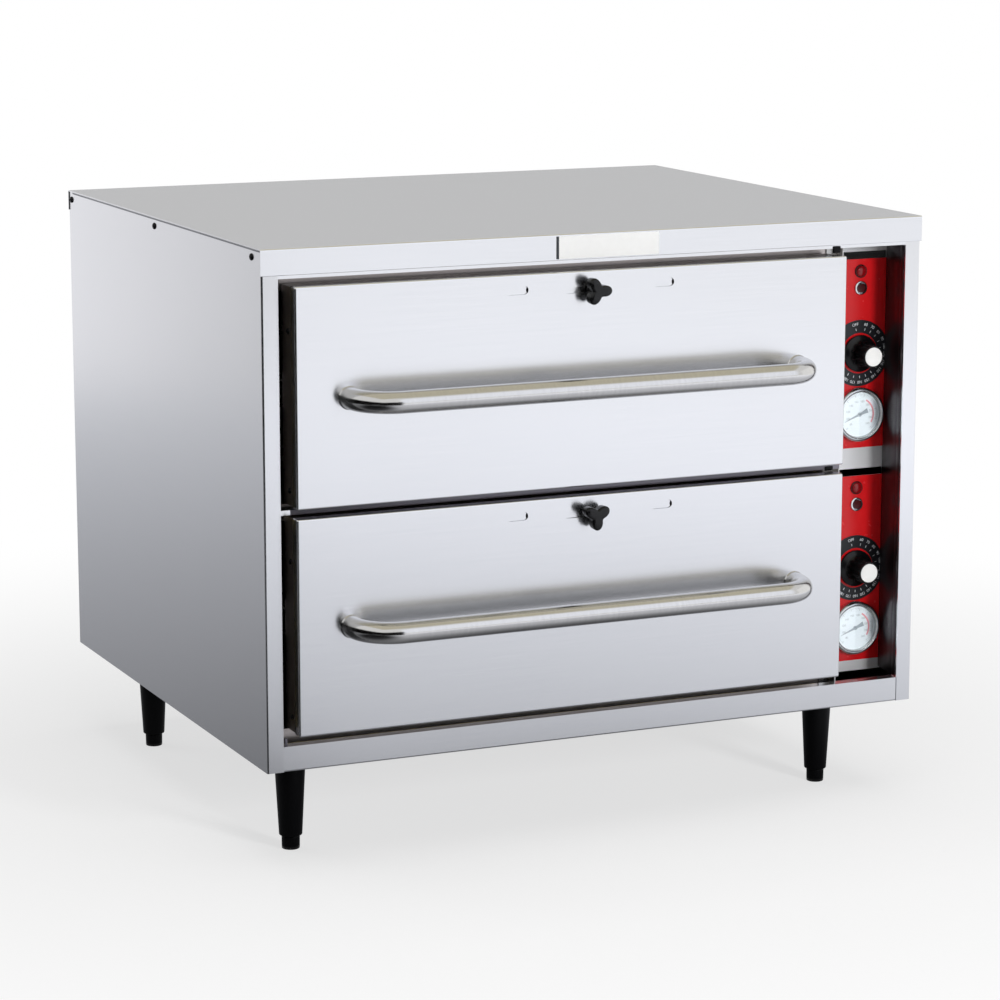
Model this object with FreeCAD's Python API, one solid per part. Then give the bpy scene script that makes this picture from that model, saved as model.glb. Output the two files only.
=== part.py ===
# Countertop warming drawer: a two-drawer stainless food warmer on four adjustable legs.
# Units are millimetres.  The pieces are drawn in the cabinet's own frame (x from the left side
# panel, y back from the front frame, z up from the underside of the base pan) and moved at the end
# to the frame of the part, whose origin is on the floor under the middle of the whole object.
import FreeCAD
import Part
import math
import os
from FreeCAD import Vector

# ---------------------------------------------------------------- driving dimensions
# Cabinet
WIDTH = 743.0             # 29 1/4 inch body
DEPTH = 627.0
HEIGHT = 527.0            # body without the legs
LEG_HEIGHT = 101.6        # 4 inch legs
SHEET = 1.2               # outer sheet steel
STILE = 17.5              # width of the side panels' front returns
STILE_LIP = 10.0          # depth of the return's inward lip
BEND = 1.8                # outside radius of the folded corners
COVER_FLANGE = 26.0       # front flange of the top cover
COVER_OVERHANG = 1.0
BASE_FLANGE = 26.0        # front flange of the base pan
RAIL_LIP = 12.0
TOP_RAIL_BOTTOM = 497.0
MIDDLE_RAIL = (262.0, 267.0)
MIDDLE_RAIL_DEPTH = 24.0
MIDDLE_RAIL_END = 650.0
FIT_GAP = 0.3             # clearance between sheets and between rolling faces

# Drawer bays: height of each drawer face's lower edge
BAYS = {"lower": 39.5, "upper": 270.0}
BAY_CENTRE = 335.0        # the drawers sit left of the middle, the controls are right of them

# Drawer front
FACE_WIDTH = 616.0
FACE_HEIGHT = 221.0
FACE_PROUD = 20.0         # the face stands this far in front of the frame
FACE_RETURN = 12.0
INNER_INSET = 1.4         # the inner skin nests this far inside the face
INNER_START = -14.0
INNER_BACK = 22.0
INNER_SHEET = 1.0
CORE_TOP = 190.0          # the insulation stops below the vent duct

# Handle
HANDLE_RADIUS = 11.1      # 7/8 inch tube
HANDLE_WALL = 1.5
HANDLE_ENDS = (84.0, 586.0)
HANDLE_HEIGHT = 108.5     # above the face's lower edge
HANDLE_STANDOFF = 45.5    # face to tube axis
HANDLE_BEND = 38.0
HANDLE_PLUG = 12.0

# Humidity vent in each drawer front
VENT_SLOTS = (265.0, 428.5)
VENT_LENGTH = 24.0
VENT_WIDTH = 9.0
VENT_HEIGHT = 205.0
VENT_SHIFT = 22.0         # slide openings stand this far right of the face slots at rest
VENT_PLATE = (243.0, 478.0)
VENT_PLATE_HEIGHTS = (195.5, 214.5)
VENT_PLATE_FRONT = -18.3
STUD_X = 347.0
STUD_HEIGHT = 202.0
STUD_RADIUS = 3.0
STUD_END = -36.0
STUD_SLOT = (318.0, 355.0)
TURNING_GAP = 0.05        # radial clearance of turning fits

# Roller slides
CHANNEL_SHEET = 2.5       # 12 gauge
CHANNEL_WEB = 23.0        # inner face of the liner wall
CHANNEL_WIDTH = 21.0
CHANNEL_ENDS = (30.0, 497.5)
ROLLER_RADIUS = 12.0
ROLLER_WIDTH = 12.0
ROLLER_LEFT = 28.0
ROLLER_PIN = 4.0
ROLLER_HEIGHT = 110.0     # roller axis above the face's lower edge
CABINET_ROLLER_Y = 45.0
DRAWER_ROLLER_Y = 480.0
RAIL_WEB = 46.0
RAIL_END = 500.0
RAIL_FLANGE_END = 462.0
RAIL_BOTTOM = 96.0
LEDGE_TOP = 162.5

# Food pan (full size, 12 by 20 inch)
PAN_CENTRE_Y = 261.0
PAN_RIM = (527.0, 325.0)
PAN_TOP = (503.0, 301.0)
PAN_BOTTOM = (466.0, 264.0)
PAN_DEPTH = 100.0
PAN_SHEET = 1.0

# Heated cavity
LINER_SHEET = 0.9
LINER_X = (23.0, 647.0)
LINER_Y = (26.0, 583.0)
LINER_Z = (-2.0, 212.0)   # from the face's lower edge
LINER_FLANGE = 5.0        # at the sides
LINER_LIPS = {"lower": (15.0, 5.0), "upper": (5.0, 15.0)}     # below and above the mouth
HEATER_RADIUS = 4.0
HEATER_HEIGHT = 18.0
HEATER_RUNS = (120.0, 200.0, 280.0, 360.0)
HEATER_TURNS = (90.0, 580.0)
HEATER_TERMINAL = 668.0

# Control bay
PARTITION_X = 656.0
PARTITION_FRONT = 12.5
PARTITION_Z = (3.2, 524.0)
PARTITION_FLANGE_X = 643.5
PARTITION_FLANGE_Y = 24.5
PANEL_Y = 52.0
PANEL_Z = (24.5, 496.5)
PANEL_FLANGE = 14.0
CONTROL_X = 701.0
LABEL_BASES = {"lower": 36.3, "upper": 272.3}
LABEL_X = (666.0, 737.5)
LABEL_HEIGHT = 205.1
LABEL_SHEET = 0.6
LABEL_CORNER = 5.0
LOUVRE = (662.0, 737.0)
LOUVRE_HEIGHT = 8.0       # slot above each label
DIAL_HEIGHT = 103.3       # this and the other devices' heights are from the label's lower edge
DIAL_RADII = (22.0, 36.0)
KNOB_SKIRT = 20.0
KNOB_GRIP = 12.8
KNOB_FRONT = 19.5
KNOB_FLUTES = 12
SHAFT_RADIUS = 3.0
THERMOMETER_HEIGHT = 36.9
BEZEL_RADIUS = 29.5
BEZEL_FRONT = 43.4
DIAL_FLOOR = 48.5
NEEDLE_ANGLE = 202.0      # direction of the pointer at rest, from +x towards +z
SWITCH_HEIGHT = 174.0
ROCKER_PIVOT = 51.0
ROCKER_RADIUS = 5.0
ROCKER_BORE = 5.7
ROCKER_BARREL = 6.5
ROCKER_BEZEL = 7.5
ROCKER_TILT = 6.0
PILOT_HEIGHT = 192.0
CAPILLARY_HEIGHT = 190.0  # from the drawer face's lower edge
CAPILLARY_Y = 85.0
BULB_X = 636.0

# Legs, nameplate, screws and cord inlet
LEG_PLACES = {
    "front_left": (50.0, 70.0),
    "front_right": (669.0, 74.0),
    "rear_left": (51.0, 515.0),
    "rear_right": (669.0, 515.0),
}
LEG_TOP_RADIUS = 17.0
LEG_BOTTOM_RADIUS = 12.0
LEG_STUD = 6.35
FOOT_RADIUS = 9.5
FOOT_HEIGHT = 14.0
FOOT_STEM = 6.0
FOOT_STEM_LENGTH = 45.0
NAMEPLATE_X = (317.0, 432.0)
NAMEPLATE_Z = (501.8, 525.0)
COVER_SCREWS_Y = (26.0, 324.0, 618.0)
COVER_SCREWS_Z = 517.0
BACK_SCREWS_Z = (60.0, 260.0, 460.0)
GLAND_PLACE = (700.0, 60.0)
GLAND_END = 646.0
GLAND_BORE = 5.0

# ---------------------------------------------------------------- derived values
BODY_TOP = HEIGHT - SHEET
FACE_LEFT = BAY_CENTRE - FACE_WIDTH / 2
FACE_RIGHT = BAY_CENTRE + FACE_WIDTH / 2
FACE_INSIDE = -FACE_PROUD + SHEET
HANDLE_FRONT = -FACE_PROUD - HANDLE_STANDOFF - HANDLE_RADIUS
ORIGIN = Vector(WIDTH / 2, (HANDLE_FRONT + GLAND_END) / 2, -LEG_HEIGHT)
LABEL_FRONT = PANEL_Y - LABEL_SHEET
DIAL_FRONT = LABEL_FRONT - LABEL_SHEET

X_AXIS = Vector(1, 0, 0)
Y_AXIS = Vector(0, 1, 0)
Z_AXIS = Vector(0, 0, 1)


# ---------------------------------------------------------------- helpers
def block(x_ends, y_ends, z_ends):
    """A box between two x, two y and two z values."""
    size = [high - low for low, high in (x_ends, y_ends, z_ends)]
    return Part.makeBox(*size, Vector(x_ends[0], y_ends[0], z_ends[0]))


def rod(start, axis, length, radius):
    """A round bar from a point along an axis; a negative length runs the other way."""
    direction = axis if length > 0 else axis * -1
    return Part.makeCylinder(radius, abs(length), start, direction)


def fused(shapes):
    """One solid from overlapping or touching shapes."""
    first, *others = shapes
    return first.fuse(others).removeSplitter()


def group(shapes):
    """Separate solids kept together in one node."""
    return Part.makeCompound(shapes)


def mirrored(shape, x):
    """The shape seen in the upright mirror plane at x."""
    return shape.mirror(Vector(x, 0, 0), X_AXIS)


def both_sides(shape):
    """A shape at the left of the bay and its mirror image at the right."""
    return [shape, mirrored(shape, BAY_CENTRE)]


def oblong(centre, length, width, y_ends):
    """A horizontal slot cutter along x with round ends, through the given y range."""
    radius = width / 2
    half = length / 2 - radius
    depth = y_ends[1] - y_ends[0]
    left = Vector(centre[0] - half, y_ends[0], centre[1])
    right = Vector(centre[0] + half, y_ends[0], centre[1])
    bar = block((left.x, right.x), y_ends, (centre[1] - radius, centre[1] + radius))
    return fused([bar, rod(left, Y_AXIS, depth, radius), rod(right, Y_AXIS, depth, radius)])


def hexagon(centre, across_flats, length):
    """A hexagonal bar along y."""
    radius = across_flats / math.sqrt(3)
    corners = []
    for side in range(7):
        angle = math.radians(60 * side)
        corners.append(centre + Vector(radius * math.cos(angle), 0, radius * math.sin(angle)))
    return Part.Face(Part.makePolygon(corners)).extrude(Y_AXIS * length)


def turned(points, centre, axis):
    """A body of revolution from (distance along the axis, radius) points."""
    side = Vector(0, 0, 1) if abs(axis.z) < 0.5 else Vector(1, 0, 0)
    outline = [centre + axis * along + side * radius for along, radius in points]
    outline.append(outline[0])
    return Part.Face(Part.makePolygon(outline)).revolve(centre, axis, 360)


def rounded_plate(size, corner, height, centre, z):
    """A flat plate with round corners, its underside at z."""
    half_x, half_y = size[0] / 2, size[1] / 2
    plate = block((centre[0] - half_x, centre[0] + half_x), (centre[1] - half_y, centre[1] + half_y),
                  (z, z + height))
    uprights = [edge for edge in plate.Edges if abs(edge.tangentAt(edge.FirstParameter).z) > 0.9]
    return plate.makeFillet(corner, uprights)


def round_edges(shape, radius, test):
    """Fillet the straight edges whose middle point passes the test."""
    chosen = [edge for edge in shape.Edges if test(edge.CenterOfMass)]
    return shape.makeFillet(radius, chosen)


def bent_path(points, radius):
    """A wire through the points, with an arc of one radius at each corner."""
    edges = []
    start = points[0]
    for before, corner, after in zip(points, points[1:], points[2:]):
        to_before = (before - corner).normalize()
        to_after = (after - corner).normalize()
        half_angle = to_before.getAngle(to_after) / 2
        setback = radius / math.tan(half_angle)
        entry = corner + to_before * setback
        leave = corner + to_after * setback
        inward = (to_before + to_after).normalize()
        middle = corner + inward * (radius / math.sin(half_angle) - radius)
        if start.distanceToPoint(entry) > 0.001:
            edges.append(Part.LineSegment(start, entry).toShape())
        edges.append(Part.Arc(entry, middle, leave).toShape())
        start = leave
    edges.append(Part.LineSegment(start, points[-1]).toShape())
    return Part.Wire(edges)


def pipe(path, radius):
    """A round bar that follows a wire."""
    start = path.Edges[0].Vertexes[0].Point
    heading = path.Edges[0].tangentAt(path.Edges[0].FirstParameter)
    profile = Part.Wire(Part.makeCircle(radius, start, heading))
    return path.makePipeShell([profile], True, True)


def screw(seat, axis, head_radius, head_height, shank_radius, shank_length):
    """A round-head screw: the head's flat seat is at a point, the shank runs along the axis."""
    head = Part.makeCone(head_radius, head_radius * 0.6, head_height, seat, axis * -1)
    return fused([head, rod(seat, axis, shank_length, shank_radius)])


def save(name, shape):
    """Move a piece to the part's frame and write it."""
    placed = shape.copy()
    placed.translate(ORIGIN * -1)
    placed.exportStep(os.path.join("parts", name + ".step"))


# ---------------------------------------------------------------- cabinet shell
def cover_screw_shapes():
    """Screws through both side panels into the cover's hidden flanges."""
    screws = []
    for y in COVER_SCREWS_Y:
        left = screw(Vector(0, y, COVER_SCREWS_Z), X_AXIS, 3.6, 1.8, 2.0, 8.0)
        screws += [left, mirrored(left, WIDTH / 2)]
    return screws


def back_screw_shapes():
    """Screws through the back panel into the side panels' rear returns."""
    screws = []
    for z in BACK_SCREWS_Z:
        left = screw(Vector(9.0, DEPTH + SHEET, z), Y_AXIS * -1, 3.6, 1.8, 2.0, 8.0)
        screws += [left, mirrored(left, WIDTH / 2)]
    return screws


def side_panel(screws):
    """Left side sheet with its front stile, the stile's lip and a rear return."""
    height = (0, BODY_TOP)
    sheets = [
        block((0, SHEET), (0, DEPTH), height),
        block((0, STILE), (0, SHEET), height),
        block((STILE - SHEET, STILE), (0, STILE_LIP), height),
        block((0, 15.0), (DEPTH - SHEET, DEPTH), height),
    ]
    panel = round_edges(fused(sheets), BEND, lambda p: abs(p.x) < 0.01 and abs(p.y) < 0.01)
    return panel.cut(screws)


def top_cover(screws):
    """Top sheet with front and rear flanges, and side flanges hidden inside the panels."""
    left = -COVER_OVERHANG
    right = WIDTH + COVER_OVERHANG
    front = -SHEET
    back = DEPTH + SHEET
    flange_bottom = HEIGHT - COVER_FLANGE
    hidden = block((SHEET, 2 * SHEET), (RAIL_LIP, DEPTH - 3), (505.0, BODY_TOP))
    sheets = [
        block((left, right), (front, back), (BODY_TOP, HEIGHT)),
        block((left, right), (front, 0), (flange_bottom, HEIGHT)),
        block((left, right), (DEPTH, back), (505.0, HEIGHT)),
        hidden,
        mirrored(hidden, WIDTH / 2),
    ]
    cover = fused(sheets)
    cover = round_edges(
        cover, BEND,
        lambda p: abs(p.z - HEIGHT) < 0.01 and (abs(p.y - front) < 0.01 or abs(p.y - back) < 0.01))
    return cover.cut(screws)


def back_panel(screws):
    """Rear sheet with cooling slots behind the control bay and the hole for the cord gland."""
    sheet = block((3.0, WIDTH - 3.0), (DEPTH, DEPTH + SHEET), (3.0, 504.5))
    cutters = list(screws)
    for row in range(6):
        cutters.append(oblong((GLAND_PLACE[0], 360.0 + 16 * row), 50.0, 5.0, (DEPTH - 1, DEPTH + 3)))
    cutters.append(rod(Vector(GLAND_PLACE[0], DEPTH - 1, GLAND_PLACE[1]), Y_AXIS, 4.0, 10.2))
    return sheet.cut(cutters)


def base_pan():
    """Floor sheet with the front rail that closes the opening, its lip and low side flanges."""
    inner = (STILE, WIDTH - STILE)
    outer = (SHEET + FIT_GAP, WIDTH - SHEET - FIT_GAP)
    side_flange = block((outer[0], outer[0] + SHEET), (11.0, 624.0), (0, 20.0))
    sheets = [
        block(inner, (0, 11.0), (0, SHEET)),
        block(outer, (11.0, 625.5), (0, SHEET)),
        block(inner, (0, SHEET), (0, BASE_FLANGE)),
        block(inner, (0, RAIL_LIP), (BASE_FLANGE - SHEET, BASE_FLANGE)),
        side_flange,
        mirrored(side_flange, WIDTH / 2),
        block((STILE, WIDTH - STILE), (624.3, 625.5), (0, BASE_FLANGE)),
    ]
    pan = fused(sheets)
    pan = round_edges(pan, BEND, lambda p: abs(p.y) < 0.01 and abs(p.z) < 0.01)
    holes = [rod(Vector(x, y, -1), Z_AXIS, 4.0, LEG_STUD + 0.1) for x, y in LEG_PLACES.values()]
    return pan.cut(holes)


def front_rails():
    """The rail under the cover's flange and the channel between the two drawers."""
    inner = (STILE, WIDTH - STILE)
    top_rail = fused([
        block(inner, (0, SHEET), (TOP_RAIL_BOTTOM, BODY_TOP - FIT_GAP)),
        block(inner, (0, RAIL_LIP), (TOP_RAIL_BOTTOM, TOP_RAIL_BOTTOM + SHEET)),
    ])
    low, high = MIDDLE_RAIL
    ends = (STILE, MIDDLE_RAIL_END)
    middle_rail = block(ends, (0, MIDDLE_RAIL_DEPTH), (low, high))
    hollow = block(ends, (SHEET, MIDDLE_RAIL_DEPTH), (low + SHEET, high - SHEET))
    return group([top_rail, middle_rail.cut(hollow)])


def partition(cutters):
    """Upright sheet between the heated bays and the control bay, with a strip that closes the gap."""
    strip_y = (PARTITION_FLANGE_Y, PARTITION_FLANGE_Y + SHEET)
    sheets = [
        block((PARTITION_X, PARTITION_X + SHEET), (PARTITION_FRONT, 620.0), PARTITION_Z),
        block((PARTITION_FLANGE_X, PARTITION_X + SHEET), strip_y, PARTITION_Z),
    ]
    return fused(sheets).cut(cutters)


def insulation(cutters):
    """Mineral wool slabs round and between the two heated cavities."""
    run = (30.0, 600.0)
    wide = (22.5, 650.0)
    slabs = [
        block((3.0, 21.5), run, (37.0, 483.0)),
        block((LINER_X[1] + 1.5, PARTITION_X - 0.5), run, (37.0, 483.0)),
        block(wide, run, (3.0, 35.5)),
        block((24.0, 646.0), run, (253.5, 265.5)),
        block(wide, run, (484.0, 524.0)),
        block((24.0, 646.0), (585.0, 600.0), (37.0, 252.0)),
        block((24.0, 646.0), (585.0, 600.0), (268.0, 483.0)),
    ]
    return group([slab.cut(cutters) for slab in slabs])


def nameplate():
    """Plain plate riveted to the cover's front flange."""
    plate = block(NAMEPLATE_X, (-2.0, -SHEET), NAMEPLATE_Z)
    return plate


# ---------------------------------------------------------------- heated cavities
def heater_path(base):
    """Centre line of the tubular element: four runs across the cavity joined by half turns."""
    height = base + HEATER_HEIGHT
    left, right = HEATER_TURNS
    radius = (HEATER_RUNS[1] - HEATER_RUNS[0]) / 2
    edges = []
    x = HEATER_TERMINAL
    for index, y in enumerate(HEATER_RUNS):
        target = left if index % 2 == 0 else right
        if index == len(HEATER_RUNS) - 1:
            target = HEATER_TERMINAL
        edges.append(Part.LineSegment(Vector(x, y, height), Vector(target, y, height)).toShape())
        if index < len(HEATER_RUNS) - 1:
            bulge = -radius if index % 2 == 0 else radius
            middle = Vector(target + bulge, y + radius, height)
            after = Vector(target, y + 2 * radius, height)
            edges.append(Part.Arc(Vector(target, y, height), middle, after).toShape())
        x = target
    return Part.Wire(edges)


def heater(base):
    """Tubular element on three welded feet that stand on the cavity floor."""
    element = pipe(heater_path(base), HEATER_RADIUS)
    floor = base + LINER_Z[0]
    feet = []
    for x in (150.0, BAY_CENTRE, 520.0):
        feet.append(block((x - 1, x + 1), (HEATER_RUNS[0] - 8, HEATER_RUNS[-1] + 8),
                          (floor, base + HEATER_HEIGHT - 2)))
    return fused([element] + feet)


def heater_holes(base):
    """Cutters for the element's two ends through the right-hand walls."""
    holes = []
    for y in (HEATER_RUNS[0], HEATER_RUNS[-1]):
        start = Vector(LINER_X[1] - 2, y, base + HEATER_HEIGHT)
        holes.append(rod(start, X_AXIS, 14.0, HEATER_RADIUS + 0.5))
    return holes


def capillary_hole(base):
    """Cutter for the thermostat's capillary tube through the right-hand walls."""
    start = Vector(LINER_X[1] - 2, CAPILLARY_Y, base + CAPILLARY_HEIGHT)
    return rod(start, X_AXIS, 14.0, 2.0)


def liner(base, lips):
    """Cavity box, open at the front, with a flange round its mouth that hides the wool."""
    low, high = base + LINER_Z[0], base + LINER_Z[1]
    wall = LINER_SHEET
    front, back = LINER_Y
    outside = block((LINER_X[0] - wall, LINER_X[1] + wall), (front, back + wall), (low - wall, high + wall))
    flange_x = (LINER_X[0] - LINER_FLANGE, LINER_X[1] + LINER_FLANGE)
    flange = block(flange_x, (front, front + wall), (low - lips[0], high + lips[1]))
    hollow = block(LINER_X, (front - 1, back), (low, high))
    box = fused([outside, flange]).cut(hollow)
    return box.cut(heater_holes(base) + [capillary_hole(base)])


def slide_channel(base):
    """Left cabinet channel with the front roller's pin and the closed stop at its rear end."""
    centre = base + ROLLER_HEIGHT
    low = centre - ROLLER_RADIUS - FIT_GAP - CHANNEL_SHEET
    high = centre + 19.5
    across = (CHANNEL_WEB, CHANNEL_WEB + CHANNEL_WIDTH)
    web_face = CHANNEL_WEB + CHANNEL_SHEET
    pin_start = Vector(CHANNEL_WEB + 1, CABINET_ROLLER_Y, centre)
    head_start = Vector(ROLLER_LEFT + ROLLER_WIDTH + FIT_GAP, CABINET_ROLLER_Y, centre)
    pieces = [
        block((CHANNEL_WEB, web_face), CHANNEL_ENDS, (low, high)),
        block(across, CHANNEL_ENDS, (low, low + CHANNEL_SHEET)),
        block(across, CHANNEL_ENDS, (high - CHANNEL_SHEET, high)),
        block(across, (CHANNEL_ENDS[1] - CHANNEL_SHEET, CHANNEL_ENDS[1]), (low, high)),
        rod(pin_start, X_AXIS, head_start.x - pin_start.x + 0.2, ROLLER_PIN),
        rod(head_start, X_AXIS, 1.7, 6.0),
    ]
    return fused(pieces)


def roller(base, y):
    """Left ball-bearing roller on a cross pin."""
    start = Vector(ROLLER_LEFT, y, base + ROLLER_HEIGHT)
    tyre = rod(start, X_AXIS, ROLLER_WIDTH, ROLLER_RADIUS)
    rims = [edge for edge in tyre.Edges if edge.Curve.TypeId == "Part::GeomCircle"]
    bore = rod(start - X_AXIS, X_AXIS, ROLLER_WIDTH + 2, ROLLER_PIN + TURNING_GAP)
    return tyre.makeFillet(1.0, rims).cut(bore)


# ---------------------------------------------------------------- drawers
def drawer_face(base):
    """Outer pan of the drawer front, with vent slots, stud slot, bolt holes and slide guides."""
    low, high = base, base + FACE_HEIGHT
    back = -FACE_PROUD + FACE_RETURN
    skin = block((FACE_LEFT, FACE_RIGHT), (-FACE_PROUD, back), (low, high))
    skin = round_edges(skin, BEND, lambda p: p.y < back - 0.01)
    hollow = block((FACE_LEFT + SHEET, FACE_RIGHT - SHEET), (FACE_INSIDE, back + 1), (low + SHEET, high - SHEET))
    skin = skin.cut(hollow)
    guide_x = (214.0, 486.0)
    gap = 0.5
    lip = 3.0
    plate_low, plate_high = [base + z for z in VENT_PLATE_HEIGHTS]
    hook_y = (VENT_PLATE_FRONT + INNER_SHEET + gap, VENT_PLATE_FRONT + 2 * INNER_SHEET + gap)
    leg_y = (FACE_INSIDE, hook_y[1])
    guides = [
        block(guide_x, leg_y, (plate_low - gap - 1, plate_low - gap)),
        block(guide_x, hook_y, (plate_low - gap - 1, plate_low + lip)),
        block(guide_x, leg_y, (plate_high + gap, plate_high + gap + 1)),
        block(guide_x, hook_y, (plate_high - lip, plate_high + gap + 1)),
    ]
    through = (-FACE_PROUD - 1, FACE_INSIDE + 0.1)
    cutters = [oblong((x, base + VENT_HEIGHT), VENT_LENGTH, VENT_WIDTH, through) for x in VENT_SLOTS]
    stud_middle = sum(STUD_SLOT) / 2
    stud_length = STUD_SLOT[1] - STUD_SLOT[0]
    cutters.append(oblong((stud_middle, base + STUD_HEIGHT), stud_length, 2 * STUD_RADIUS + 0.6, through))
    for x in HANDLE_ENDS:
        cutters.append(rod(Vector(x, through[0], base + HANDLE_HEIGHT), Y_AXIS, 3.0, 3.2))
    return fused([skin] + guides).cut(cutters)


def drawer_inner(base, screws):
    """Inner pan of the drawer front, nested in the face, with two steam slots at the top."""
    low, high = base + INNER_INSET, base + FACE_HEIGHT - INNER_INSET
    left, right = FACE_LEFT + INNER_INSET, FACE_RIGHT - INNER_INSET
    wall = INNER_SHEET
    skin = block((left, right), (INNER_START, INNER_BACK), (low, high))
    skin = round_edges(skin, BEND, lambda p: p.y > INNER_BACK - 0.01)
    hollow = block((left + wall, right - wall), (INNER_START - 1, INNER_BACK - wall), (low + wall, high - wall))
    through = (INNER_BACK - 3, INNER_BACK + 1)
    steam = [oblong((x, base + VENT_HEIGHT), 60.0, 10.0, through) for x in VENT_SLOTS]
    return skin.cut([hollow] + steam + screws)


def drawer_core(base):
    """Mineral wool slab inside the drawer front, below the vent duct."""
    return block((FACE_LEFT + 9, FACE_RIGHT - 9), (-10.0, INNER_BACK - 1.2), (base + 3, base + CORE_TOP))


def drawer_screw_shapes(base):
    """Four side screws that join the two skins, and two bolts that hold the handle."""
    side = []
    for height in (16.0, 175.0):
        seat = Vector(FACE_LEFT + INNER_INSET, 3.0, base + height)
        side += both_sides(screw(seat, X_AXIS, 3.0, 1.4, 1.5, 6.0))
    bolts = []
    for x in HANDLE_ENDS:
        seat = Vector(x, FACE_INSIDE, base + HANDLE_HEIGHT)
        bolts.append(screw(seat, Y_AXIS * -1, 5.0, 4.0, 2.95, 12.0))
    return side, bolts


def handle(base):
    """Bent tube with a bored plug welded in each end."""
    height = base + HANDLE_HEIGHT
    left, right = HANDLE_ENDS
    outward = -FACE_PROUD - HANDLE_STANDOFF
    corners = [
        Vector(left, -FACE_PROUD, height),
        Vector(left, outward, height),
        Vector(right, outward, height),
        Vector(right, -FACE_PROUD, height),
    ]
    path = bent_path(corners, HANDLE_BEND)
    tube = pipe(path, HANDLE_RADIUS).cut(pipe(path, HANDLE_RADIUS - HANDLE_WALL))
    plugs = []
    bores = []
    for x in HANDLE_ENDS:
        start = Vector(x, -FACE_PROUD, height)
        plugs.append(rod(start, Y_AXIS, -HANDLE_PLUG, HANDLE_RADIUS - 0.5))
        bores.append(rod(start + Y_AXIS, Y_AXIS, -HANDLE_PLUG - 2, 3.05))
    return fused([tube] + plugs).cut(bores)


def drawer_frame(base):
    """Welded carriage: side rails with roller pins, front and rear bars and the pan ledge."""
    centre = base + ROLLER_HEIGHT
    bottom, top = base + RAIL_BOTTOM, base + LEDGE_TOP
    sheet = CHANNEL_SHEET
    flange_low = centre + ROLLER_RADIUS + FIT_GAP
    full = (RAIL_WEB, 2 * BAY_CENTRE - RAIL_WEB)
    pin_left = CHANNEL_WEB + CHANNEL_SHEET + 0.7
    side_pieces = [
        block((RAIL_WEB, RAIL_WEB + sheet), (INNER_BACK, RAIL_END), (bottom, top)),
        block((ROLLER_LEFT, RAIL_WEB + sheet), (INNER_BACK, RAIL_FLANGE_END), (flange_low, flange_low + sheet)),
        rod(Vector(pin_left, DRAWER_ROLLER_Y, centre), X_AXIS, RAIL_WEB + 1 - pin_left, ROLLER_PIN),
        rod(Vector(pin_left, DRAWER_ROLLER_Y, centre), X_AXIS, ROLLER_LEFT - FIT_GAP - pin_left, 6.0),
    ]
    pieces = []
    for piece in side_pieces:
        pieces += both_sides(piece)
    pieces.append(block(full, (INNER_BACK, INNER_BACK + sheet), (bottom, top)))
    pieces.append(block(full, (RAIL_END - sheet, RAIL_END), (bottom, top)))
    pieces.append(block(full, (INNER_BACK, RAIL_END), (top - sheet, top)))
    opening = rounded_plate((PAN_TOP[0] + 3, PAN_TOP[1] + 3), 31.5, 10.0, (BAY_CENTRE, PAN_CENTRE_Y), top - 5)
    return fused(pieces).cut(opening)


def rounded_loop(size, corner, centre, z):
    """A closed wire: a rectangle with round corners, in a level plane."""
    plate = rounded_plate(size, corner, 1.0, centre, z)
    lowest = min(plate.Faces, key=lambda face: face.CenterOfMass.z)
    return lowest.OuterWire


def food_pan(base):
    """Full-size pan with tapered walls and round corners, hung by its rim."""
    rim_z = base + LEDGE_TOP
    centre = (BAY_CENTRE, PAN_CENTRE_Y)
    thick = 2 * PAN_SHEET
    floor = rim_z - PAN_DEPTH

    def bowl(shrink, bottom):
        upper = rounded_loop((PAN_TOP[0] - shrink, PAN_TOP[1] - shrink), 30.0, centre, rim_z + PAN_SHEET)
        lower = rounded_loop((PAN_BOTTOM[0] - shrink, PAN_BOTTOM[1] - shrink), 30.0, centre, bottom)
        return Part.makeLoft([lower, upper], True, True)

    outside = bowl(0.0, floor)
    outside = outside.makeFillet(8.0, [e for e in outside.Edges if abs(e.CenterOfMass.z - floor) < 0.01])
    inside = bowl(thick, floor + PAN_SHEET)
    inside_floor = floor + PAN_SHEET
    inside = inside.makeFillet(7.0, [e for e in inside.Edges if abs(e.CenterOfMass.z - inside_floor) < 0.01])
    rim = rounded_plate(PAN_RIM, 42.0, PAN_SHEET, centre, rim_z)
    return fused([outside, rim]).cut(inside)


def vent_slide(base):
    """Sliding shutter plate behind the face slots, with the clamping stud."""
    heights = tuple(base + z for z in VENT_PLATE_HEIGHTS)
    front = VENT_PLATE_FRONT
    back = VENT_PLATE_FRONT + INNER_SHEET
    plate = block(VENT_PLATE, (front, back), heights)
    windows = []
    for x in VENT_SLOTS:
        centre = (x + VENT_SHIFT, base + VENT_HEIGHT)
        windows.append(oblong(centre, VENT_LENGTH, VENT_WIDTH, (front - 1, back + 1)))
    stud = rod(Vector(STUD_X, back, base + STUD_HEIGHT), Y_AXIS, STUD_END - back, STUD_RADIUS)
    return fused([plate.cut(windows), stud])


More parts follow.
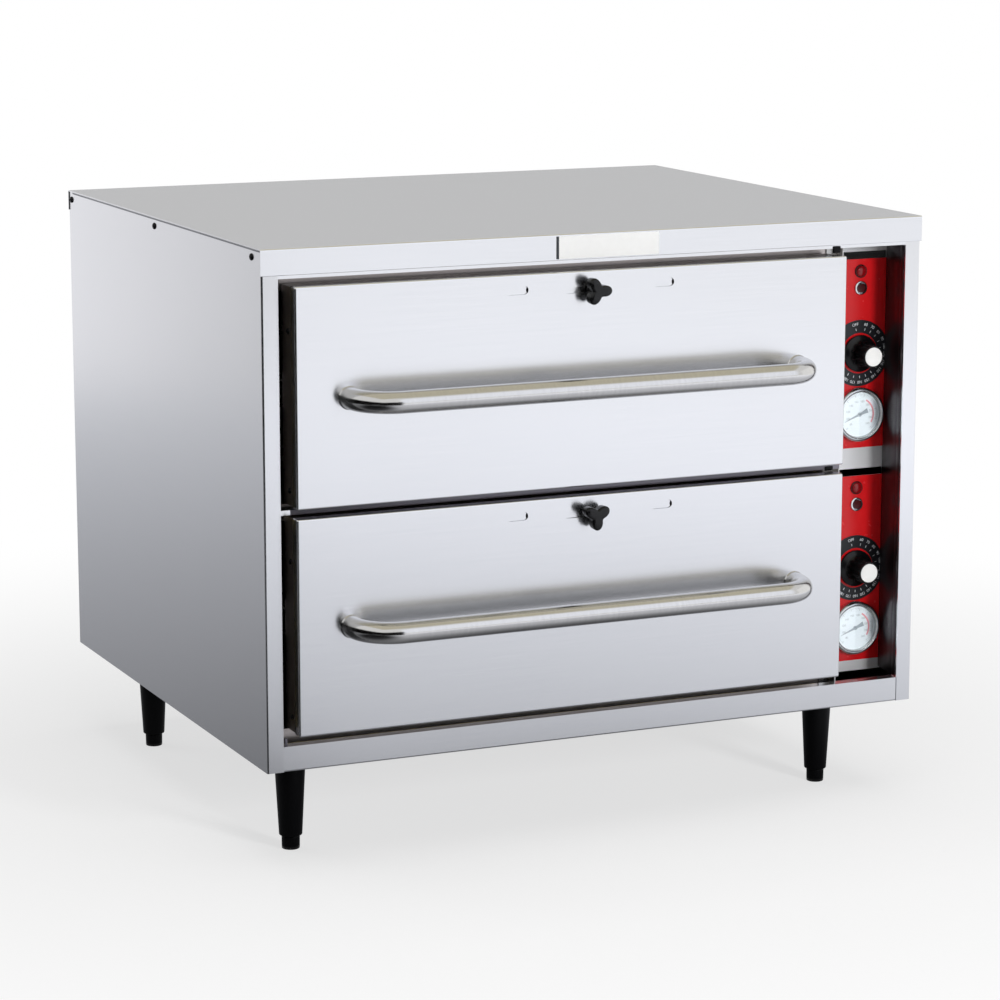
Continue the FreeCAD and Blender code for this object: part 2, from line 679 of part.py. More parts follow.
def vent_knob(base, lobe_angle):
    """Three-lobe clamping knob on the vent stud; one lobe points along the given angle."""
    centre = Vector(STUD_X, 0, base + STUD_HEIGHT)
    seat = -FACE_PROUD - FIT_GAP
    hub_front = seat - 7.0
    knob_front = seat - 20.0
    pieces = [
        rod(centre + Y_AXIS * seat, Y_AXIS, hub_front - seat - 0.5, 6.0),
        rod(centre + Y_AXIS * hub_front, Y_AXIS, knob_front - hub_front, 8.5),
    ]
    for lobe in range(3):
        angle = math.radians(lobe_angle + 120 * lobe)
        outward = Vector(math.cos(angle), 0, math.sin(angle))
        start = centre + outward * 9.5 + Y_AXIS * hub_front
        pieces.append(rod(start, Y_AXIS, knob_front - hub_front, 5.5))
    knob = fused(pieces)
    ends = [e for e in knob.Edges if abs(e.CenterOfMass.y - knob_front) < 0.01]
    knob = knob.makeFillet(1.5, ends)
    bore = rod(centre + Y_AXIS * (seat + 1), Y_AXIS, -18.0, STUD_RADIUS + TURNING_GAP)
    return knob.cut(bore)


# ---------------------------------------------------------------- controls
def control_point(base, height, y):
    """A point on the controls' common upright line."""
    return Vector(CONTROL_X, y, base + height)


def panel_holes(base, y_start, depth):
    """Cutters for the four devices of one bay."""
    switch = (SWITCH_HEIGHT, ROCKER_BARREL + 0.1)
    radii = ((DIAL_HEIGHT, 5.0), (THERMOMETER_HEIGHT, 26.2), switch, (PILOT_HEIGHT, 6.0))
    return [rod(control_point(base, height, y_start), Y_AXIS, depth, radius) for height, radius in radii]


def control_panel():
    """Recessed panel with two side flanges, device holes and a cooling slot above each label."""
    across = (PARTITION_X + SHEET + FIT_GAP, WIDTH - SHEET - FIT_GAP)
    flange_y = (PANEL_Y, PANEL_Y + PANEL_FLANGE)
    panel = fused([
        block(across, (PANEL_Y, PANEL_Y + SHEET), PANEL_Z),
        block((across[0], across[0] + SHEET), flange_y, PANEL_Z),
        block((across[1] - SHEET, across[1]), flange_y, PANEL_Z),
    ])
    cutters = []
    for base in LABEL_BASES.values():
        cutters += panel_holes(base, PANEL_Y - 1, 4.0)
        slot_low = base + LABEL_HEIGHT
        cutters.append(block(LOUVRE, (PANEL_Y - 1, PANEL_Y + 3), (slot_low, slot_low + LOUVRE_HEIGHT)))
    return panel.cut(cutters)


def control_label(base):
    """Coloured label plate with round corners, pierced for the devices."""
    plate = block(LABEL_X, (LABEL_FRONT, PANEL_Y), (base, base + LABEL_HEIGHT))
    corners = [e for e in plate.Edges if abs(e.tangentAt(e.FirstParameter).y) > 0.9]
    return plate.makeFillet(LABEL_CORNER, corners).cut(panel_holes(base, LABEL_FRONT - 1, 3.0))


def dial_plate(base):
    """Ring that carries the thermostat's figures."""
    start = control_point(base, DIAL_HEIGHT, DIAL_FRONT)
    ring = rod(start, Y_AXIS, LABEL_SHEET, DIAL_RADII[1])
    return ring.cut(rod(start - Y_AXIS, Y_AXIS, 3.0, DIAL_RADII[0]))


def thermostat(base, bay_base):
    """Thermostat body with its bushing, capillary tube and sensing bulb."""
    axis_point = control_point(base, DIAL_HEIGHT, 0)
    half = 21.0
    body = block((CONTROL_X - half, CONTROL_X + half), (PANEL_Y + 8, PANEL_Y + 43),
                 (axis_point.z - half, axis_point.z + half))
    bushing = rod(axis_point + Y_AXIS * (PANEL_Y - 4), Y_AXIS, 13.0, 4.8)
    bore = rod(axis_point + Y_AXIS * (PANEL_Y - 5), Y_AXIS, 36.0, SHAFT_RADIUS + TURNING_GAP)
    high = bay_base + CAPILLARY_HEIGHT
    tube_x = CONTROL_X - 13
    route = [
        Vector(tube_x, CAPILLARY_Y, axis_point.z + half - 1),
        Vector(tube_x, CAPILLARY_Y, high),
        Vector(BULB_X, CAPILLARY_Y, high),
        Vector(BULB_X, CAPILLARY_Y + 40, high),
    ]
    tube = pipe(bent_path(route, 10.0), 1.2)
    bulb = rod(route[-1] - Y_AXIS, Y_AXIS, 140.0, 4.0)
    return fused([body, bushing, tube, bulb]).cut(bore)


def thermostat_knob(base):
    """Skirted knob with a fluted grip, fixed on the thermostat's shaft."""
    centre = control_point(base, DIAL_HEIGHT, 0)
    back = DIAL_FRONT - 0.9
    profile = [
        (back, 0.0),
        (back, KNOB_SKIRT),
        (back - 2.0, KNOB_SKIRT),
        (back - 5.0, KNOB_GRIP + 1.2),
        (back - 6.5, KNOB_GRIP),
        (KNOB_FRONT + 1.0, KNOB_GRIP - 0.5),
        (KNOB_FRONT, KNOB_GRIP - 1.5),
        (KNOB_FRONT, 0.0),
    ]
    knob = turned(profile, centre, Y_AXIS)
    flutes = []
    for index in range(KNOB_FLUTES):
        angle = math.radians(360 / KNOB_FLUTES * (index + 0.5))
        outward = Vector(math.cos(angle), 0, math.sin(angle))
        start = centre + outward * (KNOB_GRIP + 0.9) + Y_AXIS * (KNOB_FRONT - 1)
        flutes.append(rod(start, Y_AXIS, back - 7.0 - KNOB_FRONT, 1.8))
    shaft_end = PANEL_Y + 28
    recess = rod(centre + Y_AXIS * (back + 1), Y_AXIS, -7.0, 5.6)
    knob = knob.cut(flutes + [recess])
    shaft = rod(centre + Y_AXIS * (back - 8), Y_AXIS, shaft_end - back + 8, SHAFT_RADIUS)
    return fused([knob, shaft])


def thermometer(base):
    """Round thermometer case with its bezel, dial floor and the pointer's pivot pin."""
    centre = control_point(base, THERMOMETER_HEIGHT, 0)
    bezel = rod(centre + Y_AXIS * BEZEL_FRONT, Y_AXIS, LABEL_FRONT - BEZEL_FRONT, BEZEL_RADIUS)
    rim = [e for e in bezel.Edges if abs(e.CenterOfMass.y - BEZEL_FRONT) < 0.01]
    bezel = bezel.makeFillet(2.0, rim)
    body = rod(centre + Y_AXIS * (LABEL_FRONT - 1), Y_AXIS, 22.0, 26.0)
    stem = rod(centre + Y_AXIS * (LABEL_FRONT + 20), Y_AXIS, 14.0, 4.0)
    glass_seat = rod(centre + Y_AXIS * (BEZEL_FRONT - 1), Y_AXIS, 3.0, 25.5)
    well = rod(centre + Y_AXIS * BEZEL_FRONT, Y_AXIS, DIAL_FLOOR - BEZEL_FRONT, 24.5)
    pin = rod(centre + Y_AXIS * (DIAL_FLOOR + 1), Y_AXIS, -3.2, 0.8)
    return fused([fused([bezel, body, stem]).cut([glass_seat, well]), pin])


def thermometer_glass(base):
    """Flat window that sits in the bezel."""
    start = control_point(base, THERMOMETER_HEIGHT, BEZEL_FRONT + 0.8)
    return rod(start, Y_AXIS, 1.2, 25.4)


def thermometer_needle(base):
    """Pointer with a broad tail that balances it on the pin."""
    centre = control_point(base, THERMOMETER_HEIGHT, 47.2)
    outline = [
        Vector(20.5, 0, 0),
        Vector(0, 0, 1.3),
        Vector(-5.0, 0, 1.6),
        Vector(-10.5, 0, 2.6),
        Vector(-10.5, 0, -2.6),
        Vector(-5.0, 0, -1.6),
        Vector(0, 0, -1.3),
        Vector(20.5, 0, 0),
    ]
    pointer = Part.Face(Part.makePolygon(outline)).extrude(Y_AXIS * 0.5)
    pointer.rotate(Vector(0, 0, 0), Y_AXIS, -NEEDLE_ANGLE)
    pointer.translate(centre)
    hub = rod(centre - Y_AXIS * 0.5, Y_AXIS, 1.4, 2.2)
    bore = rod(centre - Y_AXIS * 2, Y_AXIS, 5.0, 0.8 + TURNING_GAP)
    return fused([pointer, hub]).cut(bore)


def switch_body(base):
    """Rocker switch: case behind the panel, round barrel and bezel, and the seat of the rocker's pins."""
    centre = control_point(base, SWITCH_HEIGHT, 0)
    case = block((CONTROL_X - 7.5, CONTROL_X + 7.5), (PANEL_Y + SHEET + FIT_GAP, PANEL_Y + 22),
                 (centre.z - 11, centre.z + 11))
    front = LABEL_FRONT - 2.6
    bezel = rod(centre + Y_AXIS * front, Y_AXIS, 2.6, ROCKER_BEZEL)
    rim = [e for e in bezel.Edges if abs(e.CenterOfMass.y - front) < 0.01]
    bezel = bezel.makeFillet(1.0, rim)
    barrel = rod(centre + Y_AXIS * (LABEL_FRONT - 1), Y_AXIS, 6.0, ROCKER_BARREL)
    bore = rod(centre + Y_AXIS * (front - 1), Y_AXIS, 7.6, ROCKER_BORE)
    pin_seat = rod(centre + Vector(-6.4, ROCKER_PIVOT, 0), X_AXIS, 12.8, 1.2)
    return fused([case, barrel, bezel]).cut([bore, pin_seat])


def switch_rocker(base):
    """Round rocker with a hollowed face, on two short pins, its lower half pressed in at rest."""
    pivot = control_point(base, SWITCH_HEIGHT, ROCKER_PIVOT)
    front = pivot - Y_AXIS * 3.4
    disc = rod(front, Y_AXIS, 6.4, ROCKER_RADIUS)
    thumb_radius = 16.0
    thumb = rod(front - Y_AXIS * (thumb_radius - 0.9) - X_AXIS * 10, X_AXIS, 20.0, thumb_radius)
    pins = rod(pivot - X_AXIS * 6.1, X_AXIS, 12.2, 0.9)
    rocker = fused([disc.cut(thumb), pins])
    rocker.rotate(pivot, X_AXIS, ROCKER_TILT)
    return rocker


def pilot_light(base):
    """Indicator lamp: bezel and lens in front of the panel, body behind it."""
    centre = control_point(base, PILOT_HEIGHT, 0)
    lens_front = LABEL_FRONT - 4.5
    lens = rod(centre + Y_AXIS * lens_front, Y_AXIS, 4.5, 6.2)
    dome_edge = [e for e in lens.Edges if abs(e.CenterOfMass.y - lens_front) < 0.01]
    lens = lens.makeFillet(2.5, dome_edge)
    bezel = rod(centre + Y_AXIS * (LABEL_FRONT - 1.6), Y_AXIS, 1.6, 7.2)
    body = rod(centre + Y_AXIS * (LABEL_FRONT - 0.5), Y_AXIS, 20.0, 5.9)
    return fused([lens, bezel, body])


def terminal_block():
    """Supply terminals on the partition, inside the control bay."""
    left = PARTITION_X + SHEET
    middle_y, middle_z = 550.0, 90.0
    body = block((left, left + 14), (middle_y - 30, middle_y + 30), (middle_z - 11, middle_z + 11))
    posts = []
    for offset in (-20.0, 0.0, 20.0):
        posts.append(rod(Vector(left + 12, middle_y + offset, middle_z), X_AXIS, 7.0, 4.0))
    return fused([body] + posts)


def cord_gland():
    """Cable gland through the back panel: inner nut, threaded body, outer hexagon and dome."""
    x, z = GLAND_PLACE
    point = Vector(x, 0, z)
    outside = DEPTH + SHEET
    profile = [
        (outside + 7, 0.0),
        (outside + 7, 12.0),
        (outside + 12, 11.5),
        (GLAND_END, 8.0),
        (GLAND_END, 0.0),
    ]
    pieces = [
        rod(point + Y_AXIS * (DEPTH - 14), Y_AXIS, 16.0, 10.0),
        hexagon(point + Y_AXIS * (DEPTH - 5), 26.0, 5.0),
        hexagon(point + Y_AXIS * outside, 26.0, 7.0),
        turned(profile, point, Y_AXIS),
    ]
    return fused(pieces).cut(rod(point + Y_AXIS * (DEPTH - 20), Y_AXIS, 60.0, GLAND_BORE))


# ---------------------------------------------------------------- legs
def leg(place):
    """Tapered leg with a fixed stud on top and a bore for the foot's stem."""
    x, y = place
    top = Vector(x, y, 0)
    length = LEG_HEIGHT - FOOT_HEIGHT - 0.5
    cone = Part.makeCone(LEG_TOP_RADIUS, LEG_BOTTOM_RADIUS, length, top, Z_AXIS * -1)
    stud = rod(top - Z_AXIS, Z_AXIS, 13.0, LEG_STUD)
    bore = rod(top - Z_AXIS * (length + 1), Z_AXIS, FOOT_STEM_LENGTH + 3, FOOT_STEM + TURNING_GAP)
    return fused([cone, stud]).cut(bore)


def foot(place):
    """Adjustable foot: a round pad with a chamfered edge and a stem that runs in the leg."""
    x, y = place
    floor = Vector(x, y, -LEG_HEIGHT)
    pad = rod(floor, Z_AXIS, FOOT_HEIGHT, FOOT_RADIUS)
    pad = pad.makeChamfer(0.8, [e for e in pad.Edges if e.Curve.TypeId == "Part::GeomCircle"])
    return fused([pad, rod(floor + Z_AXIS, Z_AXIS, FOOT_HEIGHT + FOOT_STEM_LENGTH - 1, FOOT_STEM)])


def leg_plate(place):
    """Stiffening plate with a weld nut that takes a leg's stud."""
    x, y = place
    plate = block((x - 30, x + 30), (y - 30, y + 30), (SHEET, 3.0))
    nut = rod(Vector(x, y, 2.5), Z_AXIS, 9.0, 11.0)
    return fused([plate, nut]).cut(rod(Vector(x, y, 0), Z_AXIS, 14.0, LEG_STUD + TURNING_GAP))


# ---------------------------------------------------------------- write the pieces
def write_cabinet():
    """The fixed pieces that the two bays share."""
    bases = list(BAYS.values())
    cover_screws = cover_screw_shapes()
    back_screws = back_screw_shapes()
    wall_holes = []
    for base in bases:
        wall_holes += heater_holes(base) + [capillary_hole(base)]
    plates = [leg_plate(place) for place in LEG_PLACES.values()]
    studs = [rod(Vector(x, y, 0), Z_AXIS, 14.0, LEG_STUD + 1) for x, y in LEG_PLACES.values()]
    left_panel = side_panel(cover_screws + back_screws)
    save("left_side_panel", left_panel)
    save("right_side_panel", mirrored(left_panel, WIDTH / 2))
    save("top_cover", top_cover(cover_screws))
    save("back_panel", back_panel(back_screws))
    save("base_pan", base_pan())
    save("front_rails", front_rails())
    save("bay_partition", partition(wall_holes))
    save("control_panel", control_panel())
    save("insulation", insulation(wall_holes + plates + studs))
    save("body_screws", group(cover_screws + back_screws))
    save("nameplate", nameplate())
    save("cord_gland", cord_gland())
    save("terminal_block", terminal_block())
    save("leg_plates", group(plates))
    save("bay_liners", group([liner(BAYS[bay], lips) for bay, lips in LINER_LIPS.items()]))
    save("heating_elements", group([heater(base) for base in bases]))
    save("thermostats", group([thermostat(LABEL_BASES[bay], base) for bay, base in BAYS.items()]))
    makers = {
        "dial_plates": dial_plate,
        "thermometers": thermometer,
        "thermometer_glasses": thermometer_glass,
        "switch_bodies": switch_body,
        "pilot_lights": pilot_light,
        "control_labels": control_label,
    }
    for name, maker in makers.items():
        save(name, group([maker(base) for base in LABEL_BASES.values()]))


def write_bays():
    """The pieces that each bay and its drawer have for themselves."""
    lobe_angles = {"lower": 270.0, "upper": 0.0}
    channels = []
    for bay, base in BAYS.items():
        channels += both_sides(slide_channel(base))
        side_screws, handle_bolts = drawer_screw_shapes(base)
        save(bay + "_cabinet_rollers", group(both_sides(roller(base, CABINET_ROLLER_Y))))
        save(bay + "_drawer_rollers", group(both_sides(roller(base, DRAWER_ROLLER_Y))))
        save(bay + "_drawer_face", drawer_face(base))
        save(bay + "_drawer_inner", drawer_inner(base, side_screws))
        save(bay + "_drawer_core", drawer_core(base))
        save(bay + "_drawer_screws", group(side_screws + handle_bolts))
        save(bay + "_drawer_handle", handle(base))
        save(bay + "_drawer_frame", drawer_frame(base))
        save(bay + "_food_pan", food_pan(base))
        save(bay + "_vent_slide", vent_slide(base))
        save(bay + "_vent_knob", vent_knob(base, lobe_angles[bay]))
        save(bay + "_thermostat_knob", thermostat_knob(LABEL_BASES[bay]))
        save(bay + "_thermometer_needle", thermometer_needle(LABEL_BASES[bay]))
        save(bay + "_switch_rocker", switch_rocker(LABEL_BASES[bay]))
    save("slide_channels", group(channels))


def write_legs():
    """Four legs and their feet."""
    for corner, place in LEG_PLACES.items():
        save(corner + "_leg", leg(place))
        save(corner + "_foot", foot(place))


os.makedirs("parts", exist_ok=True)
write_cabinet()
write_bays()
write_legs()
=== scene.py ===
# %% [markdown]
# # A two-drawer warming cabinet in satin stainless steel
# The object is a countertop food warmer: a folded sheet-steel box on four black legs, two roller
# drawers with bent-tube pulls, and a recessed strip of controls at the right. Its construction is
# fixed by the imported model, which is loaded first and never moved. Everything below adds what the
# eye looks for: the way each metal was finished, rounded edges that catch light, printed dials,
# fluted knobs, screw heads and feet.

# %% Load the frame
import bmesh
import bpy
import numpy as np
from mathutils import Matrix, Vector


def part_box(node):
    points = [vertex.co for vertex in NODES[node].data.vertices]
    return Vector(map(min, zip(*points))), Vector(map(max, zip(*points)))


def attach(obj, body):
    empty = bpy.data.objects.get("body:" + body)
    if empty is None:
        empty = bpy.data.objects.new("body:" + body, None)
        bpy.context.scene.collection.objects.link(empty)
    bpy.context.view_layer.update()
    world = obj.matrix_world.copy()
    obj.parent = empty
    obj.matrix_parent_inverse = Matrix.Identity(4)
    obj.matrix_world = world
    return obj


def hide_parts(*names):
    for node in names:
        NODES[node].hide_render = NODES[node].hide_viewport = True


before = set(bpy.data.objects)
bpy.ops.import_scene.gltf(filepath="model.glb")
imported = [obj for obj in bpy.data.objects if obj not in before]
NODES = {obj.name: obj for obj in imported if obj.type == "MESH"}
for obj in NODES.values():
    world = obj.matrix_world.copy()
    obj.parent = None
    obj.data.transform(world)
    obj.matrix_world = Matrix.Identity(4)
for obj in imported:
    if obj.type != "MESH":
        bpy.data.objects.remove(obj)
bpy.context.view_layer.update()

# %% [markdown]
# ## One ruler for every piece
# Sheet-metal drawings measure from a corner of the cabinet in millimetres, while the frame is in
# metres from the middle of the floor. Reading the corner from the left side panel keeps the two in
# step: if the cabinet moves in the frame, every piece made here follows it.

# %% Cabinet millimetres to frame metres
MM = 0.001
CORNER = np.array(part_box("left_side_panel")[0])


def at(points):
    """Frame position of cabinet coordinates: the corner plus the millimetres times 0.001."""
    return CORNER + np.asarray(points, float) * MM


BAY_BASES = {"lower": 39.5, "upper": 270.0}     # height of each drawer face's lower edge, mm
FLOOR_Z = -CORNER[2] / MM                       # floor height on the cabinet's ruler, mm
print("cabinet corner in the frame:", CORNER.round(4), "floor at", round(FLOOR_Z, 1), "mm")

# %% [markdown]
# ## Camera
# A product camera stands to the left of the cabinet and a little above it, far away behind a long
# lens, so that parallel edges stay almost parallel. Its place is written on the cabinet's own
# ruler. A lens of 122 mm on a 36 mm sensor sees about 17 degrees.

# %% Make the camera
CAMERA_PLACE = (-1132.0, -3087.0, 915.8)        # mm on the cabinet's ruler
CAMERA_YAW, CAMERA_PITCH = np.radians([24.19, 10.98])

camera = bpy.data.objects.new("camera", bpy.data.cameras.new("camera"))
bpy.context.scene.collection.objects.link(camera)
camera.location = at(CAMERA_PLACE)
camera.rotation_euler = (np.pi / 2 - CAMERA_PITCH, 0.0, -CAMERA_YAW)
camera.data.sensor_width = 36.0
camera.data.lens = 122.2
bpy.context.scene.camera = camera
print("camera at", [round(v, 3) for v in camera.location])

# %% [markdown]
# ## Colours and nodes
# Paint and plastic colours are written as sRGB hex, which is how a swatch is read, and one function
# turns them to the linear values that shaders use. One more function adds any shader node: its
# settings, its socket values and its links in a single call, so each material reads like a list.
#
# No real surface has one even colour or one even gloss. So every finish here starts from a pattern
# whose cell has a real size in millimetres, and both the colour and the roughness follow it a
# little. A painted picture could do that too, but it would need unwrapped panels and has seams.

# %% Colour and node helpers
def linear(hex_code):
    """Linear RGBA of an sRGB hex: c/12.92 below 0.04045, else ((c+0.055)/1.055) to the power 2.4."""
    srgb = np.array([int(hex_code[i:i + 2], 16) for i in (1, 3, 5)]) / 255
    low = srgb / 12.92
    high = ((srgb + 0.055) / 1.055) ** 2.4
    return (*np.where(srgb <= 0.04045, low, high), 1.0)


def node(tree, kind, inputs, **settings):
    """Adds one shader node. settings are its own fields; inputs are values, or output sockets to link."""
    made = tree.nodes.new(kind)
    for field, value in settings.items():
        setattr(made, field, value)
    for socket, value in inputs.items():
        if isinstance(value, bpy.types.NodeSocket):
            tree.links.new(value, made.inputs[socket])
        else:
            made.inputs[socket].default_value = value
    return made


def blank(name):
    """A new material with nothing in it but its output node."""
    material = bpy.data.materials.new(name)
    material.use_nodes = True
    material.node_tree.nodes.clear()
    output = material.node_tree.nodes.new("ShaderNodeOutputMaterial")
    return material, material.node_tree, output


def pattern_space(tree, cell_mm):
    """Object coordinates times 1 / (cell size in metres), so one pattern cell has the size on each axis."""
    per_metre = 1.0 / (np.broadcast_to(cell_mm, 3) * MM)
    place = node(tree, "ShaderNodeTexCoord", {}).outputs["Object"]
    return node(tree, "ShaderNodeMapping", {"Vector": place, "Scale": per_metre}).outputs["Vector"]


COLOUR_A, COLOUR_B, MIXED_COLOUR = 6, 7, 2      # places of the Mix node's colour sockets


def two_tone(tree, output, pattern, dark, light, rough, gloss=None, **sockets):
    """Principled surface: colour = dark to light by the pattern, roughness = its range by the gloss."""
    colour = node(tree, "ShaderNodeMix", {
        0: pattern, COLOUR_A: linear(dark), COLOUR_B: linear(light)}, data_type="RGBA")
    uneven = node(tree, "ShaderNodeMapRange", {
        "Value": pattern if gloss is None else gloss, "To Min": rough[0], "To Max": rough[1]})
    others = {name.replace("_", " "): value for name, value in sockets.items()}
    shader = node(tree, "ShaderNodeBsdfPrincipled", {
        "Base Color": colour.outputs[MIXED_COLOUR], "Roughness": uneven.outputs["Result"], **others})
    tree.links.new(shader.outputs["BSDF"], output.inputs["Surface"])


print("helpers ready; mid grey #808080 is", round(linear("#808080")[0], 4), "linear")

# %% [markdown]
# ## Satin sheet steel
# The outside panels are stainless sheet with a number 4 finish: abrasive belts leave fine parallel
# lines, all along one edge of the sheet. Light is smeared across the lines and stays sharper along
# them. Bump alone could draw the lines but not the smear, because they are finer than a pixel. So
# the shader's anisotropy gives the smear, with its tangent set square to the grain, and a noise
# stretched about 80 to 1 gives the lines themselves. Real lines are about 0.1 mm wide; they
# are drawn 0.9 mm wide so that a picture of the whole cabinet still shows a trace of them. The
# recessed control panel is the same steel after bead blasting: paler, even and much rougher.

# %% Satin sheet
GRAIN_WIDTH, GRAIN_LENGTH, CLOUD_SIZE = 0.9, 70.0, 1000 / 6     # mm


def satin_sheet(name, grain, dark="#D3D4D6", light="#DBDBDC", rough=(0.17, 0.23), metal=1.0):
    """Belt-ground stainless with its lines along one axis. The smear direction is normal x grain."""
    material, tree, output = blank(name)
    axis = np.eye(3)[grain]
    cell = GRAIN_WIDTH + (GRAIN_LENGTH - GRAIN_WIDTH) * axis
    streak = node(tree, "ShaderNodeTexNoise", {
        "Vector": pattern_space(tree, cell), "Scale": 1.0, "Detail": 3.0, "Roughness": 0.6}).outputs["Fac"]
    cloud = node(tree, "ShaderNodeTexNoise", {
        "Vector": pattern_space(tree, CLOUD_SIZE), "Scale": 1.0, "Detail": 2.0}).outputs["Fac"]
    normal = node(tree, "ShaderNodeNewGeometry", {}).outputs["True Normal"]
    across = node(tree, "ShaderNodeVectorMath", {0: normal, 1: axis},
                  operation="CROSS_PRODUCT").outputs["Vector"]
    nudged = node(tree, "ShaderNodeVectorMath", {0: across, 1: (0.002, 0.003, 0.001)}).outputs["Vector"]
    smear = node(tree, "ShaderNodeVectorMath", {0: nudged}, operation="NORMALIZE").outputs["Vector"]
    both = node(tree, "ShaderNodeMath", {0: streak, 1: cloud}, operation="ADD").outputs["Value"]
    half = node(tree, "ShaderNodeMath", {0: both, 1: 0.5}, operation="MULTIPLY").outputs["Value"]
    relief = node(tree, "ShaderNodeBump", {"Height": streak, "Strength": 0.035, "Distance": 0.0002})
    two_tone(tree, output, streak, dark, light, rough, gloss=half, Metallic=metal, Anisotropic=0.55,
             Tangent=smear, Normal=relief.outputs["Normal"])
    return material


SATIN_WIDE = satin_sheet("satin_stainless_grain_across", 0)
SATIN_DEEP = satin_sheet("satin_stainless_grain_front_to_back", 1)
SATIN_PANEL = satin_sheet("blasted_stainless_panel", 0, "#E2E3E5", "#EAEAEB", (0.42, 0.50), 0.4)
print("satin sheet: lines", GRAIN_WIDTH, "mm wide,", GRAIN_LENGTH, "mm long")

# %% [markdown]
# ## Mill-finish, galvanised and pressed sheet
# Inside pieces keep the dull, cloudy surface that they have from the rolling mill. Warm air stains
# the liners and the backs of the drawer fronts a little darker. The middle rail's face is unpolished,
# and its dark grey is painted shade of the slot between the drawer fronts. The wall of the control
# recess is near-black sheet, painted shade of the recess. The back is zinc-coated, and zinc freezes in
# crystals called spangle, which a Voronoi pattern draws: each cell has its own tone and its own gloss.

# %% Mill-finish, galvanised and pressed sheet
def rolled_sheet(name, dark, light, rough, cloud_mm):
    """Cold-rolled metal: soft clouds in tone and gloss, no lines."""
    material, tree, output = blank(name)
    cloud = node(tree, "ShaderNodeTexNoise", {
        "Vector": pattern_space(tree, cloud_mm), "Scale": 1.0, "Detail": 5.0}).outputs["Fac"]
    relief = node(tree, "ShaderNodeBump", {"Height": cloud, "Strength": 0.06, "Distance": 0.0002})
    two_tone(tree, output, cloud, dark, light, rough, Metallic=1.0, Normal=relief.outputs["Normal"])
    return material


def spangled_zinc(name, crystal_mm=9.0):
    """Hot-dip zinc: Voronoi crystals with a random tone and gloss each."""
    material, tree, output = blank(name)
    crystal = node(tree, "ShaderNodeTexVoronoi", {
        "Vector": pattern_space(tree, crystal_mm), "Scale": 1.0}).outputs["Color"]
    tone = node(tree, "ShaderNodeSeparateColor", {"Color": crystal}).outputs["Red"]
    two_tone(tree, output, tone, "#AAAFB3", "#BFC3C6", (0.38, 0.46), Metallic=1.0)
    return material


MILL_SHEET = rolled_sheet("mill_finish_stainless", "#A9A8A6", "#BBBAB8", (0.22, 0.34), 14.0)
ZINC_SHEET = spangled_zinc("galvanised_sheet")
STAINED_SHEET = rolled_sheet("heat_stained_inner_sheet", "#ADA6A2", "#BBB4B0", (0.28, 0.40), 14.0)
# Dark grey dull sheet for the middle rail and the corner tab: painted shade of the gaps behind the drawer
# fronts.
SHADED_DULL_SHEET = rolled_sheet("dull_sheet_painted_shade", "#77747A", "#85828A", (0.42, 0.55), 14.0)
# Darker rod along the cover's side folds: a painted dark reflection line.
FOLD_LINE_DARK_REFLECTION = rolled_sheet("fold_line_painted_dark_reflection", "#8F9093", "#9A9B9E", (0.38, 0.46), 14.0)
# Near-black sheet for the post wall: painted shade of the control recess.
SHADE_DARK_SHEET = rolled_sheet("post_wall_painted_shade", "#4A4548", "#545054", (0.28, 0.38), 14.0)
PRESSED_SHEET = rolled_sheet("pressed_stainless_pan", "#B9B8B6", "#C9C8C6", (0.18, 0.30), 22.0)
print("inner sheets:", MILL_SHEET.name, ZINC_SHEET.name, PRESSED_SHEET.name)

# %% [markdown]
# ## Polished tube, bearing steel, chrome and screws
# The pulls are 22 mm tube, ground round and round and then buffed, so reflections run along the tube
# in clean bands. Its faint rings are noise squeezed along the tube's own u coordinate. Rollers are
# turned steel, the switch is chrome plated, and the screws are blackened steel.

# %% Bright metals
RINGS_AND_SECTORS = (420.0, 5.0)    # cells of the tube's ring pattern along it and round it


def buffed_tube(name):
    """Buffed stainless tube: hair-fine rings round the tube, smeared a little along it."""
    material, tree, output = blank(name)
    along = node(tree, "ShaderNodeUVMap", {}, uv_map="path").outputs["UV"]
    stretched = node(tree, "ShaderNodeMapping", {
        "Vector": along, "Scale": (*RINGS_AND_SECTORS, 1.0)}).outputs["Vector"]
    rings = node(tree, "ShaderNodeTexNoise", {
        "Vector": stretched, "Scale": 1.0, "Detail": 2.0}).outputs["Fac"]
    smear = node(tree, "ShaderNodeTangent", {}, direction_type="UV_MAP", uv_map="path").outputs["Tangent"]
    relief = node(tree, "ShaderNodeBump", {"Height": rings, "Strength": 0.03, "Distance": 0.0001})
    two_tone(tree, output, rings, "#BDBCBB", "#CBCAC8", (0.12, 0.19), Metallic=1.0, Anisotropic=0.5,
             Tangent=smear, Normal=relief.outputs["Normal"])
    return material


def turned_metal(name, dark, light, rough, ring_mm=0.6):
    """Lathe-turned or plated metal: fine even mottling in tone and gloss."""
    material, tree, output = blank(name)
    mottle = node(tree, "ShaderNodeTexNoise", {
        "Vector": pattern_space(tree, ring_mm), "Scale": 1.0, "Detail": 2.0}).outputs["Fac"]
    two_tone(tree, output, mottle, dark, light, rough, Metallic=1.0)
    return material


BUFFED_TUBE = buffed_tube("buffed_stainless_tube")
BEARING_STEEL = turned_metal("turned_bearing_steel", "#8E8D8B", "#A6A5A3", (0.20, 0.32))
CHROME = turned_metal("chrome_plate", "#DADBDD", "#E4E5E6", (0.05, 0.10))
RIM_STEEL = turned_metal("spun_rim_steel", "#C3C5C8", "#CFD1D3", (0.20, 0.30))
BLACK_SCREW = turned_metal("blackened_screw_steel", "#1B1B1D", "#2B2B2D", (0.32, 0.45))
print("bright metals made")

